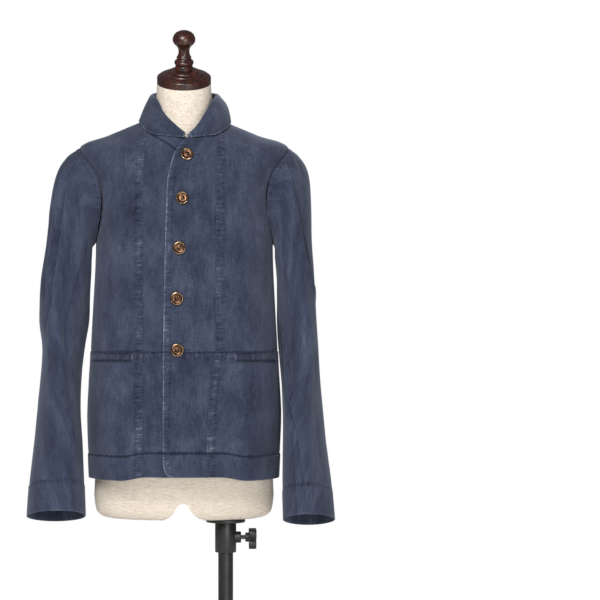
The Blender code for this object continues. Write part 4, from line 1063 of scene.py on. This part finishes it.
def stitch_tree():
    """A node tree that sets short stitches along the edges of a mesh."""
    tree = bpy.data.node_groups.new("stitches_on_lines", "GeometryNodeTree")
    for name, kind in (("Geometry", "NodeSocketGeometry"), ("Pitch", "NodeSocketFloat"),
                       ("Length", "NodeSocketFloat"), ("Radius", "NodeSocketFloat"),
                       ("Thread", "NodeSocketMaterial")):
        tree.interface.new_socket(name, in_out="INPUT", socket_type=kind)
    tree.interface.new_socket("Geometry", in_out="OUTPUT", socket_type="NodeSocketGeometry")
    add = node_maker(tree)
    start, end = add("NodeGroupInput"), add("NodeGroupOutput")
    curve = add("GeometryNodeMeshToCurve", links={"Mesh": start.outputs["Geometry"]})
    even = add("GeometryNodeResampleCurve", mode="LENGTH",
               links={"Curve": curve.outputs["Curve"], "Length": start.outputs["Pitch"]})
    tangent = add("GeometryNodeInputTangent")
    turn = add("FunctionNodeAlignRotationToVector", links={"Vector": tangent.outputs["Tangent"]}, axis="Z")
    bead = add("GeometryNodeMeshIcoSphere", {"Radius": 1.0, "Subdivisions": 1})
    size = add("ShaderNodeCombineXYZ", links={"X": start.outputs["Radius"], "Y": start.outputs["Radius"],
                                              "Z": start.outputs["Length"]})
    laid = add("GeometryNodeInstanceOnPoints", links={
        "Points": even.outputs["Curve"], "Instance": bead.outputs["Mesh"],
        "Rotation": turn.outputs["Rotation"], "Scale": size.outputs["Vector"]})
    real = add("GeometryNodeRealizeInstances", links={"Geometry": laid.outputs["Instances"]})
    dyed = add("GeometryNodeSetMaterial", links={"Geometry": real.outputs["Geometry"],
                                                 "Material": start.outputs["Thread"]})
    tree.links.new(dyed.outputs["Geometry"], end.inputs["Geometry"])
    return tree


STITCHES = stitch_tree()


def stitched(name, lines, material, pitch=STITCH_PITCH, length=STITCH_LENGTH, radius=STITCH_RADIUS):
    """One mesh of all the stitches along some lines."""
    guide = bpy.data.meshes.new(name + "_lines")
    points, edges = [], []
    for line in lines:
        edges += [(len(points) + k, len(points) + k + 1) for k in range(len(line) - 1)]
        points += [tuple(p) for p in line]
    guide.from_pydata(points, edges, [])
    made = bpy.data.objects.new(name, guide)
    bpy.context.scene.collection.objects.link(made)
    sewing = made.modifiers.new("stitches", "NODES")
    sewing.node_group = STITCHES
    values = {"Pitch": pitch, "Length": length / 2, "Radius": radius, "Thread": material}
    for item in STITCHES.interface.items_tree:
        if item.in_out == "INPUT" and item.name in values:
            sewing[item.identifier] = values[item.name]
    mesh = bpy.data.meshes.new_from_object(made.evaluated_get(bpy.context.evaluated_depsgraph_get()))
    bpy.data.objects.remove(made, do_unlink=True)
    mesh.shade_smooth()
    return bpy.data.objects.new(name, mesh)


link(stitched("jacket_stitches", lines, THREAD), THREAD)


# Five aged brass buttons close the front, each a turned dish with a raised rim
# and a domed rivet; a worked buttonhole runs from each towards the left side.
BUTTONS = ((0.0049, 1.1285), (-0.0029, 1.0560), (-0.0077, 0.9740), (-0.0116, 0.8913), (-0.0109, 0.8070))
BUTTON_RADIUS, BUTTON_THICK, BUTTON_SEAT = 0.0110, 0.0036, 0.0007
BUTTON_PROFILE = (
    (0.00, 1.02), (0.10, 1.00), (0.20, 0.90), (0.25, 0.72), (0.27, 0.46), (0.34, 0.40), (0.48, 0.42),
    (0.62, 0.46), (0.70, 0.60), (0.76, 0.86), (0.84, 1.00), (0.92, 0.94), (0.985, 0.72), (1.00, 0.50),
    (0.97, 0.18), (0.92, 0.0), (0.0, 0.0),
)


def brass(name, light, dark, rough):
    """Aged brass: bright where it is rubbed, browned in between."""
    made, shader, add, links = blank(name, Metallic=1.0, Roughness=rough)
    place = add("ShaderNodeTexCoord").outputs["Object"]
    patina = add("ShaderNodeTexNoise", {"Scale": 420.0, "Detail": 4.0}, {"Vector": place}).outputs["Fac"]
    links.new(ramp(add, patina, (0.35, dark), (0.62, light)), shader.inputs["Base Color"])
    bump = add("ShaderNodeBump", {"Strength": 0.3, "Distance": 0.0002}, {"Height": patina})
    links.new(bump.outputs["Normal"], shader.inputs["Normal"])
    return made


BRASS_BRIGHT = brass("rubbed_brass", (0.48, 0.33, 0.21), (0.17, 0.095, 0.055), 0.22)
BRASS_DARK = brass("browned_brass", (0.15, 0.082, 0.048), (0.040, 0.020, 0.013), 0.34)


def turned(name, profile, steps, place):
    """A mesh turned from a profile of radius and height round Z, then put in its place."""
    work = bmesh.new()
    rings = []
    for radius, height in profile:
        if radius == 0.0:
            rings.append([work.verts.new((0.0, 0.0, height))])
            continue
        turns = [2 * math.pi * k / steps for k in range(steps)]
        rings.append([work.verts.new((radius * math.cos(t), radius * math.sin(t), height)) for t in turns])
    closed = profile[0] == profile[-1]
    if closed:
        for vert in rings.pop():
            work.verts.remove(vert)
    pairs = list(zip(rings, rings[1:] + rings[:1])) if closed else list(zip(rings, rings[1:]))
    for a, b in pairs:
        for k in range(steps):
            corners = [a[k % len(a)], a[(k + 1) % len(a)], b[(k + 1) % len(b)], b[k % len(b)]]
            corners = list(dict.fromkeys(corners))
            if len(corners) > 2:
                work.faces.new(corners)
    bmesh.ops.recalc_face_normals(work, faces=work.faces)
    bmesh.ops.transform(work, matrix=place, verts=work.verts)
    mesh = bpy.data.meshes.new(name)
    work.to_mesh(mesh)
    work.free()
    shade(mesh, 42)
    return mesh


# The ring of a button's face that stayed brown, as shares of its radius, and
# its buttonhole: where it starts beside the middle, its length and half width.
BROWNED = (0.26, 0.72)
HOLE_START, HOLE_LENGTH, HOLE_HALF_WIDTH = 0.0040, 0.0175, 0.0009
HOLE_PITCH, HOLE_STITCH, HOLE_THREAD, HOLE_LIFT = 0.0008, 0.0010, 0.0006, 0.0004
hole_lines = []
for number, (x, z) in enumerate(BUTTONS, 1):
    angle, ring = seat_on_front(x, z)
    normal = body_normal(1, angle, ring)
    seat = crumpled(1, angle, ring, -BUTTON_SEAT)
    place = Matrix.Translation(seat) @ normal.to_track_quat("Z", "Y").to_matrix().to_4x4()
    profile = [(r * BUTTON_RADIUS, h * BUTTON_THICK) for r, h in BUTTON_PROFILE]
    name = f"button_{number}"
    made = bpy.data.objects.new(name, turned(name, profile, 48, place))
    link(made, BRASS_BRIGHT)
    made.data.materials.append(BRASS_DARK)
    for face in made.data.polygons:
        away = (face.center - seat).length / BUTTON_RADIUS
        face.material_index = int(BROWNED[0] < away < BROWNED[1])
    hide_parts(name)
    across_hole = [x + HOLE_START + HOLE_LENGTH * k / 12 for k in range(13)]
    for level in (z - HOLE_HALF_WIDTH, z + HOLE_HALF_WIDTH):
        hole_lines.append([crumpled(1, *seat_on_front(at, level), -HOLE_LIFT) for at in across_hole])
THREAD_DARK = thread_material("buttonhole_thread", (0.05, 0.06, 0.10))
buttonholes = stitched("buttonholes", hole_lines, THREAD_DARK, HOLE_PITCH, HOLE_STITCH, HOLE_THREAD)
link(buttonholes, THREAD_DARK)


# The dress form is a padded torso under natural linen, closed with a notch
# between the thighs; its neck is cut on a slope for the wooden cap.

# How far the dress form's surface lies inside the cloth, a row for each ring.
EASE_COLUMNS = ("side", "front", "back")
EASE_ROWS = (
    (0.009, 0.016, 0.040), (0.009, 0.014, 0.036), (0.012, 0.014, 0.027), (0.030, 0.024, 0.026),
    (0.022, 0.018, 0.022), (0.012, 0.007, 0.018), (0.010, 0.007, 0.012), (0.010, 0.0065, 0.008),
    (0.008, 0.0060, 0.0050), (0.0019, 0.0060, 0.0050), (0.010, 0.014, 0.018),
)
LEAST_EASE, FORM_GAP, CAP_GAP = 0.0019, 0.0004, 0.0003

# Dress form below the hem and its neck: rings of the rounded bottom as Z, half
# its width, front and back, then the notch between the thighs as X and Z.
FORM_BOTTOM = 0.522
FORM_BOTTOM_ROWS = (
    (0.522, 0.1230, 0.060, 0.064), (0.5245, 0.1350, 0.066, 0.070), (0.5300, 0.1435, 0.071, 0.076),
    (0.5385, 0.1485, 0.076, 0.082), (0.5600, 0.1515, 0.086, 0.090),
)
FORM_MIDDLE_Y = 0.018
NOTCH = ((-0.0330, 0.500), (-0.0325, 0.5215), (-0.0250, 0.5270), (-0.0180, 0.5340), (-0.0140, 0.5420),
         (-0.0090, 0.5490), (-0.0020, 0.5520), (0.0050, 0.5490), (0.0100, 0.5420), (0.0150, 0.5340),
         (0.0230, 0.5270), (0.0325, 0.5215), (0.0330, 0.500))
NECK_RADIUS, NECK_TILT = 0.0455, 22.0
CAP_CENTRE = (0.0, 0.0204, 1.2557)
FORM_RINGS = [k * 0.15 for k in range(66)]
FORM_TURNS = 112


def linen():
    """Natural linen: uneven warp and weft threads with darker slubs."""
    made, shader, add, links = blank("natural_linen", Roughness=0.92, Specular_IOR_Level=0.2,
                                     Sheen_Weight=0.12, Sheen_Roughness=0.5)
    place = add("ShaderNodeTexCoord").outputs["Object"]
    faces = []
    for across, along in ((900.0, 90.0), (90.0, 900.0)):
        scaled = add("ShaderNodeMapping", {"Scale": (across, across, along)}, {"Vector": place})
        faces.append(add("ShaderNodeTexNoise", {"Scale": 1.0, "Detail": 2.0},
                         {"Vector": scaled.outputs["Vector"]}).outputs["Fac"])
    both = add("ShaderNodeMath", links={0: faces[0], 1: faces[1]}, operation="ADD").outputs["Value"]
    half = add("ShaderNodeMath", {1: 0.5}, {0: both}, operation="MULTIPLY").outputs["Value"]
    links.new(ramp(add, half, (0.36, (0.55, 0.465, 0.37)), (0.52, (0.75, 0.66, 0.555)),
                   (0.66, (0.85, 0.765, 0.67))), shader.inputs["Base Color"])
    bump = add("ShaderNodeBump", {"Strength": 0.4, "Distance": 0.0005}, {"Height": half})
    links.new(bump.outputs["Normal"], shader.inputs["Normal"])
    return made


def form_places(count):
    """Side and angle of every point round a ring of the form, once round."""
    turns = [-90.0 + 360.0 * k / count for k in range(count)]
    return [(1, t) if t <= 90.0 else (-1, 180.0 - t) for t in turns]


def form_ring(ring):
    """A ring of the torso, inside the cloth by the ease at each angle."""
    ease = dict(zip(EASE_COLUMNS, curve_through(EASE_ROWS, ring)))
    points = []
    for side, angle in form_places(FORM_TURNS):
        share = math.sin(math.radians(angle)) ** 2
        reach = ease["front"] if angle < 0 else ease["back"]
        depth = max(ease["side"] + (reach - ease["side"]) * share, LEAST_EASE)
        depth += FORM_GAP
        points.append(body_surface(side, angle, ring) - body_normal(side, angle, ring) * depth)
    return points


def oval_ring(centre, half_width, front, back, tilt=0.0):
    """An oval ring, tilted down towards the front."""
    points = []
    for side, angle in form_places(FORM_TURNS):
        across, along = math.cos(math.radians(angle)), math.sin(math.radians(angle))
        y = (front if along < 0 else back) * along
        points.append(Vector((centre[0] + side * half_width * across,
                              centre[1] + y * math.cos(math.radians(tilt)),
                              centre[2] + y * math.sin(math.radians(tilt)))))
    return points


def loft(name, rings):
    """A closed solid through rings of the same number of points."""
    count = len(rings[0])
    faces = []
    for low in range(0, (len(rings) - 1) * count, count):
        high = low + count
        faces += [(low + k, low + (k + 1) % count, high + (k + 1) % count, high + k) for k in range(count)]
    faces += [tuple(range(count)), tuple(range((len(rings) - 1) * count, len(rings) * count))]
    mesh = bpy.data.meshes.new(name)
    mesh.from_pydata([tuple(p) for ring in rings for p in ring], [], faces)
    outwards(mesh)
    return mesh


def cut_away(mesh, tools):
    """A mesh less some other meshes."""
    solid = bpy.data.objects.new("solid", mesh)
    others = [bpy.data.objects.new("tool", tool) for tool in tools]
    for obj in [solid] + others:
        bpy.context.scene.collection.objects.link(obj)
    for other in others:
        change = solid.modifiers.new("cut", "BOOLEAN")
        change.operation, change.solver, change.object = "DIFFERENCE", "EXACT", other
    result = bpy.data.meshes.new_from_object(solid.evaluated_get(bpy.context.evaluated_depsgraph_get()))
    for obj in [solid] + others:
        bpy.data.objects.remove(obj, do_unlink=True)
    return result


def smooth_rings(rows, count):
    """Oval rings on a smooth curve through a few rows of centre, half width, front, back and tilt."""
    for k in range(count + 1):
        cx, cy, cz, half_width, front, back, tilt = curve_through(rows, k * (len(rows) - 1) / count)
        yield oval_ring((cx, cy, cz), half_width, front, back, tilt)


cap_axis = Vector((0.0, -math.sin(math.radians(NECK_TILT)), math.cos(math.radians(NECK_TILT))))
cap_seat = Vector(CAP_CENTRE) - cap_axis * CAP_GAP
bottom = [(0.0, FORM_MIDDLE_Y, z, *reach, 0.0) for z, *reach in FORM_BOTTOM_ROWS]
neck = [
    (0.0, 0.026, 1.204, 0.053, 0.060, 0.060, 12.0),
    (0.0, 0.020, 1.226, NECK_RADIUS + 0.002, 0.050, 0.051, 16.0),
    (*cap_seat, NECK_RADIUS, NECK_RADIUS, NECK_RADIUS, NECK_TILT),
]
rings = list(smooth_rings(bottom, 12)) + [form_ring(r) for r in FORM_RINGS] + list(smooth_rings(neck, 16))
POLE_X, POLE_RADIUS, POLE_TOP = 0.070, 0.0125, 0.770
BORE_CLEARANCE, BORE_TOP, BORE_LOW = 0.0008, 0.782, 0.50
notch_line = [curve_through(NOTCH, k / 4) for k in range(4 * (len(NOTCH) - 1) + 1)]
notch = loft("notch", [[Vector((x, y, z)) for x, z in notch_line] for y in (-0.2, 0.2)])
along_pole = Matrix.Translation((POLE_X, 0.0, 0.0))
bore_radius = POLE_RADIUS + BORE_CLEARANCE
bore_profile = ((0.0, BORE_TOP), (bore_radius, BORE_TOP), (bore_radius, BORE_LOW), (0.0, BORE_LOW))
bore = turned("bore", bore_profile, 48, along_pole)
form_mesh = cut_away(loft("dress_form", rings), [notch, bore])
shade(form_mesh, 48)
LINEN = linen()
dress_form = link(bpy.data.objects.new("dress_form", form_mesh), LINEN)
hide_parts("dress_form")


# A turned hardwood cap closes the neck, stained dark red brown and polished,
# with a turned finial on top to lift the form by.

# Radius and height of every point of the two turned pieces, from the top down.
CAP_PROFILE = (
    (0.0, 0.0225), (0.0200, 0.0225), (0.0240, 0.0220), (0.0258, 0.0206), (0.0262, 0.0190),
    (0.0275, 0.0184), (0.0318, 0.0182), (0.0336, 0.0174), (0.0342, 0.0160), (0.0352, 0.0154),
    (0.0392, 0.0150), (0.0412, 0.0140), (0.0420, 0.0126), (0.0436, 0.0120), (0.0452, 0.0108),
    (0.0456, 0.0090), (0.0455, 0.0), (0.0, 0.0),
)
FINIAL_PROFILE = (
    (0.0, 0.0910), (0.0040, 0.0908), (0.0085, 0.0896), (0.0135, 0.0870), (0.0168, 0.0835),
    (0.0186, 0.0795), (0.0193, 0.0755), (0.0187, 0.0720), (0.0168, 0.0687), (0.0136, 0.0656),
    (0.0112, 0.0628), (0.0098, 0.0595), (0.0093, 0.0555), (0.0095, 0.0515), (0.0106, 0.0480),
    (0.0122, 0.0456), (0.0126, 0.0440), (0.0115, 0.0424), (0.0122, 0.0410), (0.0148, 0.0394),
    (0.0162, 0.0370), (0.0163, 0.0348), (0.0150, 0.0322), (0.0131, 0.0306), (0.0134, 0.0296),
    (0.0150, 0.0286), (0.0152, 0.0270), (0.0150, 0.0228), (0.0, 0.0228),
)


def polished_wood():
    """Turned hardwood, stained and waxed, with a fine grain along it."""
    made, shader, add, links = blank("polished_wood", Roughness=0.36, Coat_Weight=0.18, Coat_Roughness=0.16)
    place = add("ShaderNodeTexCoord").outputs["Object"]
    scaled = add("ShaderNodeMapping", {"Scale": (150.0, 150.0, 26.0)}, {"Vector": place})
    grain = add("ShaderNodeTexNoise", {"Scale": 1.0, "Detail": 5.0, "Distortion": 0.8},
                {"Vector": scaled.outputs["Vector"]}).outputs["Fac"]
    links.new(ramp(add, grain, (0.32, (0.010, 0.0035, 0.0028)), (0.52, (0.040, 0.0095, 0.0055)),
                   (0.72, (0.095, 0.022, 0.011))), shader.inputs["Base Color"])
    bump = add("ShaderNodeBump", {"Strength": 0.15, "Distance": 0.0003}, {"Height": grain})
    links.new(bump.outputs["Normal"], shader.inputs["Normal"])
    return made


WOOD = polished_wood()
cap_place = Matrix.Translation(Vector(CAP_CENTRE)) @ Matrix.Rotation(math.radians(NECK_TILT), 4, "X")
for name, profile, steps in (("neck_cap", CAP_PROFILE, 96), ("finial", FINIAL_PROFILE, 64)):
    made = bpy.data.objects.new(name, turned(name, profile, steps, cap_place))
    link(made, WOOD)
    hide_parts(name)


# The stand: a black painted steel tube in a hub on a round plate, and under the
# form a flange with a socket that slides on the tube and a wing knob to clamp it.
def satin_black(name, rough):
    """Satin black with a fine grain and faint scuffs."""
    made, shader, add, links = blank(name, Specular_IOR_Level=0.5)
    place = add("ShaderNodeTexCoord").outputs["Object"]
    grain = add("ShaderNodeTexNoise", {"Scale": 900.0, "Detail": 2.0}, {"Vector": place}).outputs["Fac"]
    scuff = add("ShaderNodeTexNoise", {"Scale": 45.0, "Detail": 6.0, "Roughness": 0.7},
                {"Vector": place}).outputs["Fac"]
    links.new(ramp(add, scuff, (0.40, (0.0075, 0.0075, 0.008)), (0.70, (0.020, 0.020, 0.021))),
              shader.inputs["Base Color"])
    spread_rough = add("ShaderNodeMapRange", {"To Min": rough - 0.06, "To Max": rough + 0.10},
                       {"Value": scuff})
    links.new(spread_rough.outputs["Result"], shader.inputs["Roughness"])
    bump = add("ShaderNodeBump", {"Strength": 0.12, "Distance": 0.0002}, {"Height": grain})
    links.new(bump.outputs["Normal"], shader.inputs["Normal"])
    return made


BLACK_PAINT = satin_black("black_paint", 0.38)
BLACK_PLASTIC = satin_black("black_plastic", 0.48)
BASE_RADIUS, BASE_THICK, HUB_RADIUS, HUB_TOP = 0.170, 0.009, 0.026, 0.075
SOCKET_RADIUS, SOCKET_BOTTOM, FLANGE_RADIUS, FLANGE_THICK = 0.0178, 0.4655, 0.0328, 0.0057
CLAMP_Z, BOSS_RADIUS, BOSS_END_X = 0.4905, 0.0095, 0.0958
STAND_GAP, KNOB_STEPS = 0.0003, 96
flange_top = FORM_BOTTOM - STAND_GAP
flange_low = flange_top - FLANGE_THICK


def tube(outer, inner, low, high, bevel):
    """The profile of a round tube with eased outer edges."""
    ease = 0.3 * bevel
    return (
        (inner, high), (outer - bevel, high), (outer - ease, high - ease), (outer, high - bevel),
        (outer, low + bevel), (outer - ease, low + ease), (outer - bevel, low), (inner, low),
        (inner, high),
    )


stand_pieces = {
    "base": ("base", 128, (
        (0.0, BASE_THICK), (BASE_RADIUS * 0.90, BASE_THICK), (BASE_RADIUS * 0.955, BASE_THICK * 0.93),
        (BASE_RADIUS * 0.985, BASE_THICK * 0.75), (BASE_RADIUS * 0.997, BASE_THICK * 0.55),
        (BASE_RADIUS, BASE_THICK * 0.40), (BASE_RADIUS, 0.0003), (BASE_RADIUS - 0.0003, 0.0), (0.0, 0.0))),
    "base_hub": ("base", 64, (
        (bore_radius, HUB_TOP), (HUB_RADIUS * 0.69, HUB_TOP), (HUB_RADIUS * 0.73, HUB_TOP - 0.001),
        (HUB_RADIUS * 0.80, HUB_TOP * 0.92), (HUB_RADIUS * 0.92, BASE_THICK + 0.024),
        (HUB_RADIUS * 1.02, BASE_THICK + 0.010), (HUB_RADIUS * 1.15, BASE_THICK + 0.004),
        (HUB_RADIUS * 1.35, BASE_THICK + 0.0014), (HUB_RADIUS * 1.35, BASE_THICK + STAND_GAP),
        (0.0, BASE_THICK + STAND_GAP), (0.0, BASE_THICK + 0.008), (bore_radius, BASE_THICK + 0.008),
        (bore_radius, HUB_TOP))),
    "pole": ("pole", 64, (
        (0.0, POLE_TOP), (POLE_RADIUS - 0.001, POLE_TOP), (POLE_RADIUS, POLE_TOP - 0.001),
        (POLE_RADIUS, BASE_THICK + 0.0086), (0.0, BASE_THICK + 0.0086))),
    "flange": ("form", 64, tube(FLANGE_RADIUS, bore_radius, flange_low, flange_top, 0.0008)),
    "socket": ("form", 64, tube(SOCKET_RADIUS, bore_radius, SOCKET_BOTTOM, flange_low - STAND_GAP, 0.0009)),
}
for name, (body, steps, profile) in stand_pieces.items():
    made = bpy.data.objects.new(name, turned(name, profile, steps, along_pole))
    link(made, BLACK_PAINT, body)
    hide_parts(name)


def across_pole(start_x, profile, name, steps=48):
    """A turned piece whose axis points along +X at the clamp's height."""
    place = Matrix.Translation((start_x, 0.0, CLAMP_Z)) @ Matrix.Rotation(math.radians(90), 4, "Y")
    return turned(name, profile, steps, place)


SCREW_RADIUS, KNOB_X, KNOB_END_X = 0.0040, 0.1030, 0.1215
boss_inner, boss_length = SCREW_RADIUS + 0.0005, POLE_X + SOCKET_RADIUS - 0.003 - BOSS_END_X
boss = bpy.data.objects.new("clamp_boss", across_pole(BOSS_END_X, (
    (boss_inner, 0.0), (BOSS_RADIUS - 0.0008, 0.0), (BOSS_RADIUS, -0.0008), (BOSS_RADIUS, boss_length),
    (boss_inner, boss_length), (boss_inner, 0.0)), "clamp_boss"))
link(boss, BLACK_PAINT, "form")

THREAD_RINGS, THREAD_DEPTH = 24, 0.0005
screw_start = POLE_X + POLE_RADIUS + 0.0006
screw_length = KNOB_X - STAND_GAP - screw_start
screw_thread = [(SCREW_RADIUS - (THREAD_DEPTH if k % 2 else 0.0), screw_length * k / THREAD_RINGS)
                for k in range(THREAD_RINGS + 1)]
screw_profile = ((0.0, 0.0), *screw_thread, (0.0, screw_length))
screw_mesh = across_pole(screw_start, screw_profile, "clamp_screw", 32)
SCREW_STEEL, screw_shader, add, links = blank("zinc_steel", Metallic=1.0, Roughness=0.28)
place = add("ShaderNodeTexCoord").outputs["Object"]
fleck = add("ShaderNodeTexNoise", {"Scale": 700.0}, {"Vector": place})
links.new(ramp(add, fleck.outputs["Fac"], (0.3, (0.42, 0.42, 0.43)), (0.7, (0.72, 0.72, 0.74))),
          screw_shader.inputs["Base Color"])
screw = link(bpy.data.objects.new("clamp_screw", screw_mesh), SCREW_STEEL, "knob")
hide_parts("clamp_screw")

KNOB_WING_X, KNOB_HUB_RADIUS, LOBE_RADIUS, LOBE_REACH = 0.1090, 0.0078, 0.0085, 0.0115
outline = []
for k in range(KNOB_STEPS):
    turn = 2 * math.pi * k / KNOB_STEPS
    reach = 0.0
    for lobe in range(3):
        middle = math.radians(270 + 120 * lobe)
        swing = turn - middle
        inside = LOBE_RADIUS**2 - (LOBE_REACH * math.sin(swing)) ** 2
        if inside > 0 and math.cos(swing) > 0:
            reach = max(reach, LOBE_REACH * math.cos(swing) + math.sqrt(inside))
    reach = max(reach, KNOB_HUB_RADIUS)
    outline.append((turn, reach))
knob_layers = ((KNOB_WING_X, -0.0012), (KNOB_WING_X + 0.0004, -0.0004), (KNOB_WING_X + 0.0012, 0.0),
               (KNOB_END_X - 0.0012, 0.0), (KNOB_END_X - 0.0004, -0.0004), (KNOB_END_X, -0.0012))
knob_rings = [
    [(x, (r + inset) * math.cos(t), CLAMP_Z + (r + inset) * math.sin(t)) for t, r in outline]
    for x, inset in knob_layers
]
knob_mesh = loft("clamp_knob", knob_rings)
shade(knob_mesh, 42)
knob = link(bpy.data.objects.new("clamp_knob", knob_mesh), BLACK_PLASTIC, "knob")
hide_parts("clamp_knob")
collar_hub = across_pole(KNOB_X, ((0.0, 0.0), (KNOB_HUB_RADIUS - 0.0008, 0.0), (KNOB_HUB_RADIUS, 0.0008),
                                  (KNOB_HUB_RADIUS, 0.0075), (0.0, 0.0075)), "knob_hub")
link(bpy.data.objects.new("knob_hub", collar_hub), BLACK_PLASTIC, "knob")


# The studio: a plain pale floor, a white surround and three soft lights,
# with the camera straight in front of the jacket at the height of its chest.
floor_mesh = bpy.data.meshes.new("floor")
FLOOR_REACH, FLOOR_LEVEL = 2.6, -0.0005
floor_corners = [(FLOOR_REACH * x, FLOOR_REACH * y, 0) for x, y in ((-1, -1), (1, -1), (1, 1), (-1, 1))]
floor_mesh.from_pydata(floor_corners, [], [(0, 1, 2, 3)])
floor = bpy.data.objects.new("floor", floor_mesh)
floor_paint, floor_shader, add, links = blank("pale_floor", Roughness=0.8)
floor_shader.inputs["Base Color"].default_value = (0.88, 0.88, 0.87, 1.0)
floor_mesh.materials.append(floor_paint)
bpy.context.scene.collection.objects.link(floor)
floor.location.z = FLOOR_LEVEL

world = bpy.data.worlds.new("studio")
world.use_nodes = True
surround = world.node_tree.nodes["Background"]
surround.inputs["Color"].default_value = (1.0, 1.0, 1.0, 1.0)
# The surround's strength for the light that it gives, and as the camera sees it.
AROUND, BEHIND_PICTURE = 0.18, 1.0
add = node_maker(world.node_tree)
rays = add("ShaderNodeLightPath").outputs["Is Camera Ray"]
strength = add("ShaderNodeMapRange", {"To Min": AROUND, "To Max": BEHIND_PICTURE}, {"Value": rays})
world.node_tree.links.new(strength.outputs["Result"], surround.inputs["Strength"])
bpy.context.scene.world = world
bpy.context.scene.view_settings.view_transform = "Standard"

# The lights: where each stands, its diameter and its power.
LIGHTS = (
    ("key", (-0.8, -2.8, 2.5), 1.0, 92.0),
    ("fill", (1.0, -3.1, 0.9), 1.2, 34.0),
    ("back", (0.9, 2.8, 2.6), 1.2, 84.0),
)
LIT_PLACE = Vector((0.0, 0.0, 0.9))
for name, place, size, power in LIGHTS:
    lamp = bpy.data.lights.new(name, "AREA")
    lamp.shape, lamp.size, lamp.energy = "DISK", size, power
    held = bpy.data.objects.new(name, lamp)
    bpy.context.scene.collection.objects.link(held)
    held.location = place
    held.visible_glossy = name != "back"
    held.rotation_euler = (LIT_PLACE - Vector(place)).to_track_quat("-Z", "Y").to_euler()

# The picture's scale at the form's axis, its width, where it has that axis,
# and where the camera stands.
METRES_PER_PIXEL, PICTURE_WIDTH, FIGURE_PIXEL = 0.00168, 600, 184.0
CAMERA_AWAY, CAMERA_HEIGHT = 4.0, 0.8888
lens = bpy.data.cameras.new("camera")
lens.sensor_width = 36.0
lens.lens = lens.sensor_width * CAMERA_AWAY / (METRES_PER_PIXEL * PICTURE_WIDTH)
lens.shift_x = (PICTURE_WIDTH / 2 - FIGURE_PIXEL) / PICTURE_WIDTH
camera = bpy.data.objects.new("camera", lens)
camera.location = (0.0, -CAMERA_AWAY, CAMERA_HEIGHT)
camera.rotation_euler = (math.radians(90), 0.0, 0.0)
bpy.context.scene.collection.objects.link(camera)
bpy.context.scene.camera = camera
